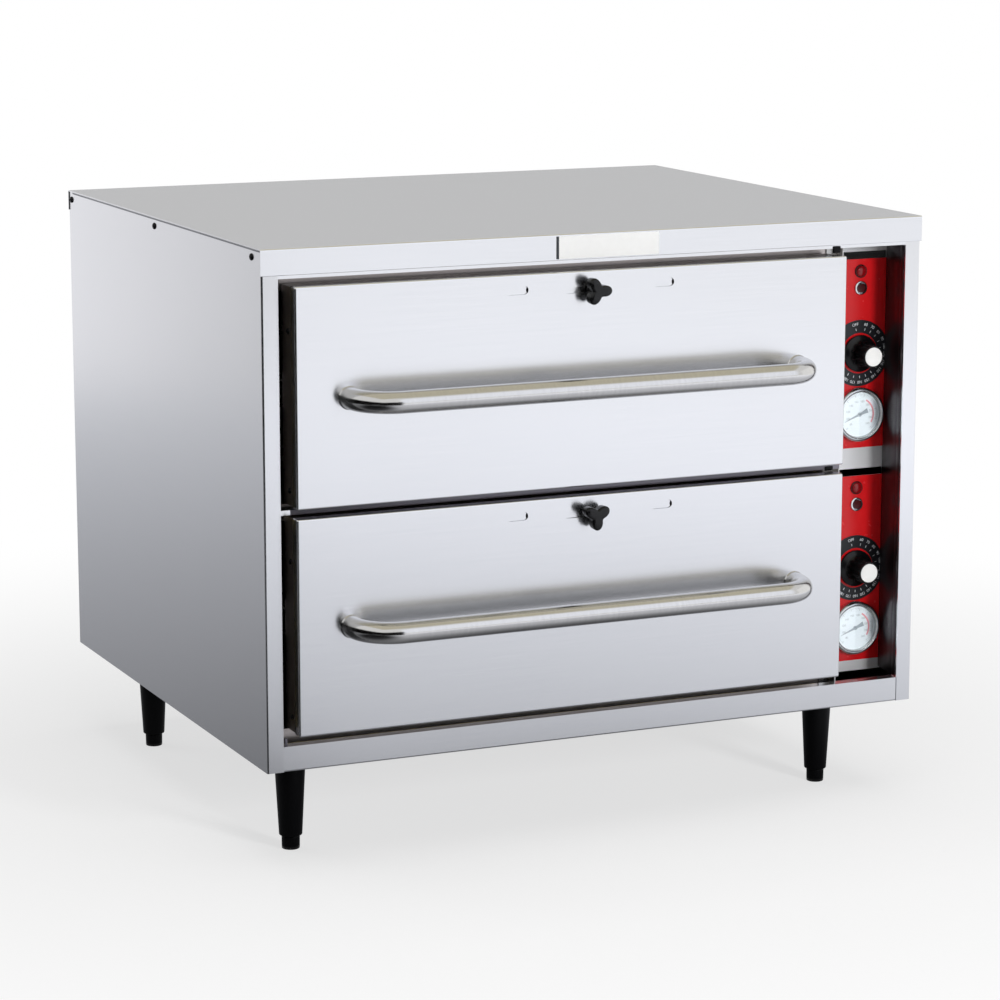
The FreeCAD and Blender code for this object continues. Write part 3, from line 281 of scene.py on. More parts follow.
# %% [markdown]
# ## Plastics, print and wool
# Knobs are moulded phenolic, hard and glossy; the legs are black nylon, a little duller, with the
# fine orange-peel of an injection mould. The control label is red enamel under a clear film. The ring
# round each knob is black anodised plate, a soft black; the name plate and the thermometer dials are
# pale enamel, even and bright; the knobs' caps are glossy white ABS. Prints on the dials are thin,
# matt inks. Inside, the thermostat cases and the terminals are dull mouldings, the heater's sheath is
# browned by its own heat, and the mineral wool is matt and rough. One recipe makes all the plastics
# and prints, and only their tones, gloss and grain size differ.

# %% Non-metals
def moulded(name, dark, light, rough, peel_mm, peel=0.04, **sockets):
    """Moulded plastic or print: two close tones, slight gloss changes and a shallow orange peel."""
    material, tree, output = blank(name)
    skin = node(tree, "ShaderNodeTexNoise", {
        "Vector": pattern_space(tree, peel_mm), "Scale": 1.0, "Detail": 3.0}).outputs["Fac"]
    relief = node(tree, "ShaderNodeBump", {"Height": skin, "Strength": peel, "Distance": 0.0003})
    two_tone(tree, output, skin, dark, light, rough, Normal=relief.outputs["Normal"], **sockets)
    return material


PHENOLIC = moulded("moulded_black_phenolic", "#060607", "#0D0D0F", (0.18, 0.28), 3.0, Specular_IOR_Level=0.3)
NYLON = moulded("moulded_black_nylon", "#030304", "#070708", (0.25, 0.36), 1.5, 0.10, Specular_IOR_Level=0.12)
RED_LABEL = moulded("red_enamel_under_film", "#D0161B", "#D81A1F", (0.22, 0.30), 8.0, Specular_IOR_Level=0.4)
BLACK_DIAL = moulded("black_anodised_dial", "#101216", "#181A1F", (0.28, 0.38), 2.0, IOR=1.5)
WHITE_ENAMEL = moulded("white_enamel_plate", "#F2F2F1", "#F8F8F7", (0.28, 0.36), 6.0, IOR=1.5)
GAUGE_ENAMEL = moulded("pale_enamel_dial", "#CDD3DB", "#D5DAE1", (0.28, 0.36), 6.0, IOR=1.5)
WHITE_CAP = moulded("white_abs_cap", "#F1F1EF", "#F8F8F6", (0.20, 0.30), 4.0, IOR=1.53)
FIGURE_INK = moulded("pale_screen_ink", "#E2E5EA", "#EEF0F4", (0.45, 0.55), 1.0, IOR=1.5)
STRIP_INK = moulded("dark_screen_ink", "#33363B", "#3E4147", (0.45, 0.55), 1.0, IOR=1.5)
SCALE_INK = moulded("grey_screen_ink", "#858C95", "#9198A1", (0.45, 0.55), 1.0, IOR=1.5)
ARC_INK = moulded("rose_screen_ink", "#D07F8B", "#DB8E99", (0.45, 0.55), 1.0, IOR=1.5)
ROCKER_PLASTIC = moulded("dark_red_rocker_plastic", "#3A0A0C", "#4A0E10", (0.18, 0.28), 2.0, IOR=1.53)
CASE_PLASTIC = moulded("moulded_brown_phenolic_case", "#2B211B", "#382B23", (0.35, 0.5), 3.0, IOR=1.6)
TERMINAL_PLASTIC = moulded("moulded_cream_terminal", "#B9B098", "#C8C0A8", (0.4, 0.5), 4.0, IOR=1.53)
PILOT_RED = moulded("dark_red_lamp_lens", "#7A0A0F", "#8E0E14", (0.08, 0.14), 2.0, IOR=1.5)
HEATER_OXIDE = turned_metal("heat_tinted_sheath", "#4A4038", "#6A5C4E", (0.38, 0.55), 9.0)
WOOL = moulded("mineral_wool", "#8A7B4E", "#B3A36E", (0.9, 1.0), 2.5, peel=0.8)
print("plastics, prints and wool made")

# %% [markdown]
# ## Window glass
# The thermometers' windows are thin, flat soda-lime glass. A glass shader alone would put the dial in
# the shade, because rays towards the lamps stop at it. Real thin glass lets nearly all light past, so
# for shadow rays the material is a plain transparent one.

# %% Glass
RIPPLE_SIZE = 40.0        # mm


def clear_glass(name):
    """Thin window glass that lets shadow rays through, so that the dial under it stays lit."""
    material, tree, output = blank(name)
    ripple = node(tree, "ShaderNodeTexNoise", {
        "Vector": pattern_space(tree, RIPPLE_SIZE), "Scale": 1.0}).outputs["Fac"]
    haze = node(tree, "ShaderNodeMapRange", {"Value": ripple, "To Min": 0.0, "To Max": 0.02})
    glass = node(tree, "ShaderNodeBsdfPrincipled", {
        "Base Color": linear("#FBFDFC"), "Transmission Weight": 1.0, "IOR": 1.45,
        "Roughness": haze.outputs["Result"]})
    clear = node(tree, "ShaderNodeBsdfTransparent", {"Color": linear("#F4F6F5")})
    shadow = node(tree, "ShaderNodeLightPath", {}).outputs["Is Shadow Ray"]
    either = node(tree, "ShaderNodeMixShader", {
        0: shadow, 1: glass.outputs["BSDF"], 2: clear.outputs["BSDF"]})
    tree.links.new(either.outputs["Shader"], output.inputs["Surface"])
    return material


GLASS = clear_glass("window_glass")
print("materials so far:", len(bpy.data.materials))

# %% [markdown]
# ## Finishes on the CAD pieces
# A CAD piece keeps its shape and only gets a finish, named once in a table of finishes and pieces.
# The grain of a sheet follows its long side, so side panels and rails use different versions of the
# same steel.

# %% Dress the CAD nodes
FINISHES = {
    SATIN_WIDE: ["top_cover", "base_pan", "front_rails",
                 "upper_drawer_face", "lower_drawer_face", "upper_vent_slide", "lower_vent_slide"],
    SATIN_DEEP: ["left_side_panel", "right_side_panel"],
    SATIN_PANEL: ["control_panel"],
    MILL_SHEET: ["bay_partition", "leg_plates", "slide_channels", "upper_drawer_frame", "lower_drawer_frame"],
    STAINED_SHEET: ["bay_liners", "upper_drawer_inner", "lower_drawer_inner"],
    ZINC_SHEET: ["back_panel"],
    PRESSED_SHEET: ["upper_food_pan", "lower_food_pan"],
    BUFFED_TUBE: ["upper_drawer_handle", "lower_drawer_handle"],
    BEARING_STEEL: ["upper_cabinet_rollers", "lower_cabinet_rollers",
                    "upper_drawer_rollers", "lower_drawer_rollers"],
    BLACK_SCREW: ["body_screws", "upper_drawer_screws", "lower_drawer_screws"],
    WOOL: ["insulation", "upper_drawer_core", "lower_drawer_core"],
    HEATER_OXIDE: ["heating_elements"],
    PHENOLIC: ["upper_vent_knob", "lower_vent_knob", "upper_thermostat_knob", "lower_thermostat_knob"],
    NYLON: ["cord_gland"] + [f"{end}_{side}_{part}" for end in ("front", "rear")
                             for side in ("left", "right") for part in ("leg", "foot")],
    RED_LABEL: ["control_labels"],
    BLACK_DIAL: ["dial_plates"],
    CASE_PLASTIC: ["thermostats"],
    TERMINAL_PLASTIC: ["terminal_block"],
    RIM_STEEL: ["thermometers"],
    GLASS: ["thermometer_glasses"],
    SCALE_INK: ["upper_thermometer_needle", "lower_thermometer_needle"],
    CHROME: ["switch_bodies"],
    ROCKER_PLASTIC: ["upper_switch_rocker", "lower_switch_rocker"],
    PILOT_RED: ["pilot_lights"],
    WHITE_ENAMEL: ["nameplate"],
}
for finish, names in FINISHES.items():
    for name in names:
        mesh = NODES[name].data
        mesh.materials.clear()
        mesh.materials.append(finish)
undressed = sorted(set(NODES) - {name for names in FINISHES.values() for name in names})
print("undressed nodes:", undressed)

# %% [markdown]
# ## Skins from numpy grids
# Every new piece is a stack of rings: ring i is a closed loop of n points, and quads join it to ring
# i + 1. That one idea makes turned parts, bent tube, lobed knobs and pressed pans, and because all
# the points come from whole-array sums there is no slow loop over vertices. Each end is closed with
# a fan of triangles, and the signed volume tells which way the faces turn.

# %% Skins of rings
def shell(rings, looped=False):
    """Points, quads and triangles over rings (m, n, 3). Volume = sum of a . (b x c) / 6 over triangles."""
    rings = np.asarray(rings, float)
    m, n = rings.shape[:2]
    count = m if looped else m - 1
    i, j = np.meshgrid(np.arange(count), np.arange(n), indexing="ij")
    here, there = i * n, ((i + 1) % m) * n
    next_j = (j + 1) % n
    quads = np.stack([here + j, here + next_j, there + next_j, there + j], axis=-1).reshape(-1, 4)
    uv = np.stack([np.stack([a / count, b / n], axis=-1)
                   for a, b in ((i, j), (i, j + 1), (i + 1, j + 1), (i + 1, j))], axis=2).reshape(-1, 4, 2)
    points = rings.reshape(-1, 3)
    fans = np.zeros((0, 3), int)
    if not looped:
        points = np.vstack([points, rings[0].mean(axis=0), rings[-1].mean(axis=0)])
        k = np.arange(n)
        first = np.stack([np.full(n, m * n), (k + 1) % n, k], axis=-1)
        last = np.stack([np.full(n, m * n + 1), (m - 1) * n + k, (m - 1) * n + (k + 1) % n], axis=-1)
        fans = np.vstack([first, last])
    triangles = np.vstack([quads[:, [0, 1, 2]], quads[:, [0, 2, 3]], fans])
    a, b, c = points[triangles[:, 0]], points[triangles[:, 1]], points[triangles[:, 2]]
    if np.einsum("ij,ij->i", a, np.cross(b, c)).sum() < 0:
        quads, uv, fans = quads[:, ::-1], uv[:, ::-1], fans[:, ::-1]
    return points, quads, fans, uv


cube = np.array([[(x, y, z) for x, y in ((0, 0), (1, 0), (1, 1), (0, 1))] for z in (0, 1)])
_, quads, fans, _ = shell(cube)
print("a cube as two rings of four points has", len(quads), "quads and", len(fans), "triangles")

# %% [markdown]
# ## One object for many skins
# The cover's screws or a dial's ticks are many closed skins that never move apart, so they share
# one mesh. Faces are shaded smooth, except across edges that bend more than 32 degrees: without that
# mark a flat end would look swollen. The object is then hung on the empty of the body it rides on,
# gets its finish, and hides the imported nodes that it replaces.

# %% Object from skins
CREASE = 32.0             # degrees


def piece(name, shells, finish, body, replaces=()):
    """One object from closed skins, numbered on from one to the next, with edges past the crease sharp."""
    starts = np.cumsum([0] + [len(points) for points, *_ in shells])
    points = np.vstack([points for points, *_ in shells])
    faces, corners = [], []
    for start, (_, quads, fans, uv) in zip(starts, shells):
        faces += (quads + start).tolist() + (fans + start).tolist()
        corners += [uv.reshape(-1, 2), np.zeros((fans.size, 2))]
    mesh = bpy.data.meshes.new(name)
    mesh.from_pydata(at(points).tolist(), [], faces)
    mesh.uv_layers.new(name="path").uv.foreach_set("vector", np.vstack(corners).ravel())
    mesh.polygons.foreach_set("use_smooth", np.ones(len(faces), bool))
    mesh.set_sharp_from_angle(angle=np.radians(CREASE))
    mesh.materials.append(finish)
    made = bpy.data.objects.new(name, mesh)
    bpy.context.scene.collection.objects.link(made)
    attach(made, body)
    if replaces:
        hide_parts(*replaces)
    print(f"{name}: {len(points)} points, {len(faces)} faces, rides on {body}")


print("edges stay sharp past", CREASE, "degrees")

# %% [markdown]
# ## Drawer pulls
# Each pull is one length of tube with a bend at each end, welded square to the drawer front. The
# centre line is two short straights, two quarter circles and a long straight; a ring of the tube's
# radius is carried along it. A curve with a round bevel would give the same tube, but here the radius
# can change on the way: near the front it grows in an exponential curve, which is the small fillet
# of the weld.

# %% Bent-tube pulls
TUBE_RADIUS, TUBE_BEND = 11.1, 38.0
PULL_ENDS = (84.0, 586.0)
PULL_HEIGHT, PULL_STANDOFF, FACE_Y = 108.5, 45.5, -20.0
WELD_SIZE, WELD_FADE = 1.0, 0.8


def circle(around):
    """Angles of one ring, without the repeated last point."""
    return np.linspace(0.0, 2 * np.pi, around, endpoint=False)


def pull_path():
    """Centre line in the level plane: straight, quarter circle, straight, quarter circle, straight."""
    left, right = PULL_ENDS
    outward = FACE_Y - PULL_STANDOFF
    stub = np.array([0.0, 0.5, 1.0, 1.7, 2.7, 4.0, 6.0])
    turn = np.linspace(0.0, np.pi / 2, 22)
    lead = np.stack([np.full(7, left), FACE_Y - stub], axis=1)
    bend = np.stack([left + TUBE_BEND * (1 - np.cos(turn)), outward + TUBE_BEND * (1 - np.sin(turn))], axis=1)
    half = np.vstack([lead, bend])
    straight = np.linspace(left + TUBE_BEND, right - TUBE_BEND, 26)[1:-1]
    middle = np.stack([straight, np.full(24, outward)], axis=1)
    other = half[::-1] * [-1, 1] + [left + right, 0]
    return np.vstack([half, middle, other])


def tube_rings(path, height, around=56):
    """Rings square to a level path: centre + r (cos a * side + sin a * up), with the weld's flare in r."""
    step = np.gradient(path, axis=0)
    step /= np.linalg.norm(step, axis=1, keepdims=True)
    side = np.stack([-step[:, 1], step[:, 0]], axis=1)
    travelled = FACE_Y - path[:, 1]
    radius = TUBE_RADIUS + WELD_SIZE * np.exp(-travelled / WELD_FADE)
    angle = circle(around)
    reach = radius[:, None] * np.cos(angle)
    rings = np.zeros((len(path), around, 3))
    rings[..., :2] = path[:, None] + side[:, None] * reach[..., None]
    rings[..., 2] = height + radius[:, None] * np.sin(angle)
    return rings


for bay, base in BAY_BASES.items():
    piece(f"{bay}_pull_tube", [shell(tube_rings(pull_path(), base + PULL_HEIGHT))], BUFFED_TUBE,
          f"{bay}_drawer", replaces=[f"{bay}_drawer_handle"])

# %% [markdown]
# ## Turned profiles
# Knobs, lamps, legs and feet are round parts, so each is drawn as half of its section and turned
# about an axis, as on a lathe. A real edge is never sharp. A bevel modifier would round all edges
# alike; here each corner of the section has its own size and is replaced by a short parabola.

# %% Turning
AXES = {"x": (1, 2, 0), "y": (0, 2, 1), "z": (0, 1, 2)}


def turned(profile, centre, axis, around=72, lobes=None):
    """Rings at centre + radius * (cos a, sin a), moved along the axis. lobes(a, along) scales the radius."""
    profile = np.asarray(profile, float)
    angle = circle(around)
    along, radius = profile[:, :1], profile[:, 1:2]
    if lobes is not None:
        radius = radius * lobes(angle[None, :], along)
    first, second, third = AXES[axis]
    rings = np.zeros((len(profile), around, 3))
    rings[..., first] = centre[first] + radius * np.cos(angle)
    rings[..., second] = centre[second] + radius * np.sin(angle)
    rings[..., third] = centre[third] + along
    return rings


def softened(corners, size, steps=5):
    """Profile with round corners: a parabola (1-t)^2 a + 2t(1-t) p + t^2 b replaces each inner corner p."""
    corners = np.asarray(corners, float)
    before, tip, after = corners[:-2], corners[1:-1], corners[2:]
    sizes = np.broadcast_to(np.asarray(size, float), (len(tip),))[:, None]
    back, on = before - tip, after - tip
    back_length = np.linalg.norm(back, axis=1, keepdims=True)
    on_length = np.linalg.norm(on, axis=1, keepdims=True)
    reach_back = np.minimum(sizes, back_length * 0.49)
    reach_on = np.minimum(sizes, on_length * 0.49)
    a = tip + back / back_length * reach_back
    b = tip + on / on_length * reach_on
    t = np.linspace(0.0, 1.0, steps)[None, :, None]
    arcs = (1 - t) ** 2 * a[:, None] + 2 * t * (1 - t) * tip[:, None] + t ** 2 * b[:, None]
    return np.vstack([corners[:1], arcs.reshape(-1, corners.shape[1]), corners[-1:]])


def refined(profile, longest):
    """The same polyline with points added by linear interpolation, at most the given length apart."""
    profile = np.asarray(profile, float)
    length = np.concatenate([[0.0], np.cumsum(np.linalg.norm(np.diff(profile, axis=0), axis=1))])
    places = np.union1d(length, np.arange(0.0, length[-1], longest))
    return np.stack([np.interp(places, length, column) for column in profile.T], axis=1)


print("a softened right angle has", len(softened([(0, 0), (1, 0), (1, 1)], 0.2)), "points")

# %% [markdown]
# ## Thermostat knobs
# The knob is a moulded skirt with a fluted grip and a white cap pressed into its nose. It is a
# surface of revolution whose radius also changes with the angle: twelve cosine flutes that fade in
# above the skirt and out before the nose. Flutes cut with booleans would leave torn edges. A short
# white bar on the skirt is the index.

# %% Knobs, caps and index bars
CONTROL_X = 701.0
LABEL_BASES = {"lower": 36.3, "upper": 272.3}   # each label's lower edge
DIAL_HEIGHT = 103.3                             # this and the next ones count from that edge
KNOB_BACK, KNOB_NOSE = 49.9, 19.5
CAP_RADIUS = 10.1
FLUTES, FLUTE_DEPTH = 12, 0.085
INDEX_REACH = 17.4                              # knob's middle to the middle of its index bar


def fade(value, start, end):
    """Smooth step from 0 to 1: 3t^2 - 2t^3 of the clipped distance between start and end."""
    t = np.clip((value - start) / (end - start), 0.0, 1.0)
    return t * t * (3 - 2 * t)


def flutes(angle, along):
    """Radius factor 1 - depth * window * cosine lobes."""
    nose = fade(along, KNOB_NOSE + 1.0, KNOB_NOSE + 4.0)
    skirt = fade(-along, -(KNOB_BACK - 5.0), -(KNOB_BACK - 9.0))
    return 1.0 - FLUTE_DEPTH * nose * skirt * np.clip(0.5 + 0.9 * np.cos(FLUTES * angle), 0.0, 1.0)


def knob_profile():
    """Outline of the knob from its back face to the hollow in its nose."""
    outline = [(KNOB_BACK, 6.0), (KNOB_BACK, 20.0), (KNOB_BACK - 2.2, 20.0), (KNOB_BACK - 5.2, 14.0),
               (KNOB_BACK - 8.0, 12.8), (KNOB_NOSE + 0.4, 12.0), (KNOB_NOSE + 0.4, 10.3),
               (KNOB_NOSE + 1.4, 10.2)]
    return refined(softened(outline, (0.6, 0.6, 2.0, 2.0, 1.0, 0.3)), 1.5)


def cap_profile():
    """A shallow dome that fills the nose's hollow: its face falls back by 0.5 (r / R)^3."""
    radius = np.linspace(CAP_RADIUS, 0.3, 9)
    height = KNOB_NOSE + 0.5 * (radius / CAP_RADIUS) ** 3
    return np.vstack([[(KNOB_NOSE + 1.6, CAP_RADIUS)], np.stack([height, radius], axis=1)])


def bars(boxes, plane):
    """Thin flat bars in the x-z plane. A row is centre x and z, length, width, turn in degrees, thickness."""
    x, z, length, width, turn, thick = np.asarray(boxes, float).T
    turn = np.radians(turn)
    made = []
    along = np.stack([np.cos(turn), np.sin(turn)], axis=1) * length[:, None] / 2
    across = np.stack([-np.sin(turn), np.cos(turn)], axis=1) * width[:, None] / 2
    for signs in ((-1, -1), (1, -1), (1, 1), (-1, 1)):
        made.append(np.stack([x, z], axis=1) + signs[0] * along + signs[1] * across)
    flat = np.stack(made, axis=1)
    rings = np.zeros((len(x), 2, 4, 3))
    rings[..., 0] = flat[:, None, :, 0]
    rings[..., 2] = flat[:, None, :, 1]
    rings[:, 0, :, 1] = plane
    rings[:, 1, :, 1] = plane - thick[:, None]
    return [shell(ring_pair) for ring_pair in rings]


for bay, base in LABEL_BASES.items():
    centre = (CONTROL_X, 0.0, base + DIAL_HEIGHT)
    body = f"{bay}_thermostat_knob"
    piece(f"{bay}_fluted_knob", [shell(turned(knob_profile(), centre, "y", 144, flutes))], PHENOLIC,
          body, replaces=[body])
    piece(f"{bay}_knob_cap", [shell(turned(cap_profile(), centre, "y", 64))], WHITE_CAP, body)
    index_bar = (CONTROL_X, base + DIAL_HEIGHT + INDEX_REACH, 1.6, 4.0, 0.0, 0.35)
    piece(f"{bay}_knob_index", bars([index_bar], KNOB_BACK - 2.1), WHITE_CAP, body)

# %% [markdown]
# ## Vent clamp knobs
# A three-lobed hand knob clamps each vent shutter. Its outline is r = 11 + 4 cos 3a, so three
# fingers of 15 mm stand round a waist of 7 mm. The same outline shrinks smoothly at the back and
# the front, which rounds the fingers like a real moulding, where joined cylinders would show seams.

# %% Three-lobed knobs
STUD_X, STUD_HEIGHT = 347.0, 202.0
LOBE_TURN = {"lower": 270.0, "upper": 0.0}


def lobed(lobe_angle):
    """Radius factor for three lobes: blends from a round hub at the back to the full lobes in front."""
    def factor(angle, along):
        share = fade(-along, 26.4, 28.4)
        wave = np.cos(3 * (angle - np.radians(lobe_angle)))
        return 1.0 + share * 4.0 / 11.0 * wave
    return factor


def clamp_profile():
    """Hub, then a plate with round edges and a slightly domed front."""
    outline = [(-20.3, 3.2), (-20.3, 6.0), (-26.2, 6.0), (-27.6, 10.6), (-38.6, 11.0), (-40.2, 7.5),
               (-40.3, 0.2)]
    return softened(outline, (0.5, 2.0, 1.0, 2.2, 1.6), 7)


for bay, base in BAY_BASES.items():
    centre = (STUD_X, 0.0, base + STUD_HEIGHT)
    piece(f"{bay}_clamp_knob", [shell(turned(clamp_profile(), centre, "y", 120, lobed(LOBE_TURN[bay])))],
          PHENOLIC, f"{bay}_vent_knob", replaces=[f"{bay}_vent_knob"])

# %% [markdown]
# ## Lettering
# The dials carry plain figures. A font makes each figure as a curve, it is made a mesh, its doubled
# points are merged so that the little solid is closed, and only then is it turned and placed, all
# with array sums. Figures on a dial stand with their feet towards the middle.

# %% Figures as thin solids
DIGIT_SHARE = 0.70        # height of a figure for a font size of 1


def figure_points(text, height, thick):
    """Points (mm) and faces of one extruded text, centred on its own middle, facing -y, top towards +z."""
    curve = bpy.data.curves.new("figure", "FONT")
    curve.body = text
    curve.size = height / DIGIT_SHARE
    curve.extrude = thick / 2
    curve.resolution_u = 3
    holder = bpy.data.objects.new("figure", curve)
    bpy.context.scene.collection.objects.link(holder)
    bpy.context.view_layer.update()
    mesh = bpy.data.meshes.new_from_object(holder.evaluated_get(bpy.context.evaluated_depsgraph_get()))
    solid = bmesh.new()
    solid.from_mesh(mesh)
    bmesh.ops.remove_doubles(solid, verts=solid.verts, dist=0.001)
    bmesh.ops.recalc_face_normals(solid, faces=solid.faces)
    solid.to_mesh(mesh)
    solid.free()
    local = np.zeros(len(mesh.vertices) * 3)
    mesh.vertices.foreach_get("co", local)
    local = local.reshape(-1, 3)
    faces = [tuple(face.vertices) for face in mesh.polygons]
    bpy.data.objects.remove(holder)
    bpy.data.meshes.remove(mesh)
    middle = (local[:, :2].min(axis=0) + local[:, :2].max(axis=0)) / 2
    flat = local[:, :2] - middle
    return np.stack([flat[:, 0], -local[:, 2], flat[:, 1]], axis=1), faces


def lettering(name, entries, plane, finish, body, height, thick=0.08):
    """One object of many figures. An entry is a text, its x and z, and its anticlockwise turn in degrees."""
    points, faces = [], []
    count = 0
    for text, x, z, turn in entries:
        local, local_faces = figure_points(text, height, thick)
        angle = np.radians(turn)
        spun = np.stack([local[:, 0] * np.cos(angle) - local[:, 2] * np.sin(angle), local[:, 1],
                         local[:, 0] * np.sin(angle) + local[:, 2] * np.cos(angle)], axis=1)
        points.append(spun + (x, plane - thick / 2, z))
        faces += [tuple(index + count for index in face) for face in local_faces]
        count += len(local)
    mesh = bpy.data.meshes.new(name)
    mesh.from_pydata(at(np.vstack(points)).tolist(), [], faces)
    mesh.materials.append(finish)
    made = bpy.data.objects.new(name, mesh)
    bpy.context.scene.collection.objects.link(made)
    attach(made, body)
    print(f"{name}: {len(entries)} figures, {len(faces)} faces")


print("a font size of 1 gives figures", DIGIT_SHARE, "high")

# %% [markdown]
# ## Temperature dials
# The black ring round each knob is printed with the temperature in steps of ten, 16.4 degrees of
# turn apart, and the word OFF. A short tick stands inside each figure. A picture on the ring would be
# quicker, but ink made as thin solids stays sharp at any distance.

# %% Print the dial rings
DIAL_FRONT = 50.8
OFF_ANGLE, FIRST_FIGURE, FIGURE_STEP = -10.0, 14.0, 16.4    # degrees from the top
FIGURE_RING, TICK_RING = 31.6, 26.0                         # radii of the two rings of print
FIGURES = ["OFF"] + [str(value) for value in range(60, 201, 10)]
FIGURE_ANGLES = np.array([OFF_ANGLE] + [FIRST_FIGURE + FIGURE_STEP * k for k in range(15)])


def on_circle(radius, clockwise):
    """x and z offsets of clock-style angles, in degrees from the top."""
    angle = np.radians(np.asarray(clockwise, float))
    return radius * np.sin(angle), radius * np.cos(angle)


def tick_rows(middle, reach, clockwise, length, width, thick):
    """Rows for bars(): ticks with their middles at a reach from the dial's middle, pointing towards it."""
    x, z = on_circle(1.0, clockwise)
    columns = (middle[0] + x * reach, middle[1] + z * reach, length, width, 90.0 - clockwise, thick)
    return np.stack(np.broadcast_arrays(*columns), axis=1)


for bay, base in LABEL_BASES.items():
    x, z = on_circle(FIGURE_RING, FIGURE_ANGLES)
    entries = [(text, CONTROL_X + dx, base + DIAL_HEIGHT + dz, -turn)
               for text, dx, dz, turn in zip(FIGURES, x, z, FIGURE_ANGLES)]
    lettering(f"{bay}_dial_figures", entries, DIAL_FRONT, FIGURE_INK, "cabinet", 3.1)
    ticks = tick_rows((CONTROL_X, base + DIAL_HEIGHT), TICK_RING, FIGURE_ANGLES, 2.6, 0.6, 0.06)
    piece(f"{bay}_dial_ticks", bars(ticks, DIAL_FRONT), FIGURE_INK, "cabinet")

# %% [markdown]
# ## Thermometers
# Each thermometer is a spun steel case with a rolled rim, a white enamelled dial and a flat window.
# The case is one profile turned from the stem behind the panel, over the rim and down into the
# well. The dial's scale is a ring of ticks, a few figures and a rose-coloured arc for the holding
# range.

# %% Cases, dials and scales
GAUGE_HEIGHT = 36.9
RIM_RADIUS, RIM_FRONT, WELL_FLOOR = 29.5, 43.4, 48.5
SCALE_TURN = 270.0        # degrees of scale, symmetric about the top
SCALE_TICKS, MAJOR_EVERY = 55, 6
SCALE_EDGE, SCALE_FIGURES = 22.6, 14.4          # radii of the ticks' outer ends and of the figures
SCALE_PLANE = WELL_FLOOR - 0.2


def gauge_profile():
    """Stem, body, flange on the label, rolled rim, glass seat and well, back to front."""
    outline = [(85.4, 4.0), (72.4, 4.0), (72.4, 26.0), (51.4, 26.0), (51.4, RIM_RADIUS), (45.6, RIM_RADIUS),
               (RIM_FRONT, 27.6), (RIM_FRONT + 0.2, 25.6), (45.4, 25.5), (45.4, 24.5), (WELL_FLOOR, 24.5),
               (WELL_FLOOR, 0.9)]
    return softened(outline, (0.3, 0.6, 0.2, 0.3, 2.4, 1.6, 0.9, 0.1, 0.1, 0.2), 6)


def flat_ring(centre, radii, sweep, plane, thick, steps=90):
    """Ring sector as a closed skin: an oblong section carried round an arc of clockwise angles."""
    start, end = sweep
    whole = abs(end - start) >= 359.9
    clockwise = np.radians(np.linspace(start, end, steps, endpoint=not whole))
    inner, outer = radii
    section = np.array([(inner, plane), (outer, plane), (outer, plane - thick), (inner, plane - thick)])
    rings = np.zeros((steps, 4, 3))
    rings[..., 0] = centre[0] + section[:, 0] * np.sin(clockwise)[:, None]
    rings[..., 1] = section[:, 1]
    rings[..., 2] = centre[1] + section[:, 0] * np.cos(clockwise)[:, None]
    return shell(rings, looped=whole)


cases = [shell(turned(gauge_profile(), (CONTROL_X, 0.0, base + GAUGE_HEIGHT), "y", 96))
         for base in LABEL_BASES.values()]
piece("thermometer_cases", cases, RIM_STEEL, "cabinet", replaces=["thermometers"])
for bay, base in LABEL_BASES.items():
    middle = (CONTROL_X, base + GAUGE_HEIGHT)
    piece(f"{bay}_gauge_dial", [flat_ring(middle, (1.0, 24.3), (0, 360), WELL_FLOOR - 0.02, 0.15)],
          GAUGE_ENAMEL, "cabinet")
    angles = np.linspace(-SCALE_TURN / 2, SCALE_TURN / 2, SCALE_TICKS)
    major = np.arange(SCALE_TICKS) % MAJOR_EVERY == 0
    length = np.where(major, 3.2, 1.7)
    ticks = tick_rows(middle, SCALE_EDGE - length / 2, angles, length, np.where(major, 0.5, 0.28), 0.05)
    piece(f"{bay}_gauge_ticks", bars(ticks, SCALE_PLANE), SCALE_INK, "cabinet")
    piece(f"{bay}_gauge_arc", [flat_ring(middle, (16.2, 18.0), (28, 122), SCALE_PLANE, 0.05, 40)],
          ARC_INK, "cabinet")
    x, z = on_circle(SCALE_FIGURES, angles[major])
    entries = [(str(80 + 20 * k), middle[0] + dx, middle[1] + dz, 0.0)
               for k, (dx, dz) in enumerate(zip(x, z))]
    lettering(f"{bay}_gauge_figures", entries, SCALE_PLANE, SCALE_INK, "cabinet", 2.3, 0.05)

# %% [markdown]
# ## Rocker switches and pilot lamps
# Each switch is a round rocker in a chrome bezel. Its face is hollowed for a finger, so the rings of
# the face are pushed back most along the pivot line and not at all at the upper and lower edges. At
# rest the lower half is pressed in: the whole skin is turned 6 degrees about the pivot. The pilot
# lamp is a domed lens in a small ring of the same dark red plastic as the rocker.

# %% Rockers and lamps
SWITCH_HEIGHT, ROCKER_PIVOT_Y, ROCKER_TILT = 174.0, 51.0, np.radians(6.0)
ROCKER_RADIUS, ROCKER_HOLLOW = 5.0, 0.8
PILOT_HEIGHT, LABEL_FRONT = 192.0, 51.4


def rocker_rings(pivot):
    """A short cylinder; its front rings move back by hollow * (1 - (z / R)^2), then all turn about x."""
    outline = softened([(3.0, 0.3), (3.0, ROCKER_RADIUS), (-3.4, ROCKER_RADIUS), (-3.4, 0.3)], (0.4, 0.7), 6)
    rings = turned(refined(outline, 0.8), (0.0, 0.0, 0.0), "y", 56)
    y, z = rings[..., 1], rings[..., 2]
    front = fade(-y, 1.6, 3.3)
    y = y + front * ROCKER_HOLLOW * (1 - (z / ROCKER_RADIUS) ** 2)
    turned_y = y * np.cos(ROCKER_TILT) - z * np.sin(ROCKER_TILT)
    turned_z = y * np.sin(ROCKER_TILT) + z * np.cos(ROCKER_TILT)
    return np.stack([rings[..., 0], turned_y, turned_z], axis=-1) + np.asarray(pivot)


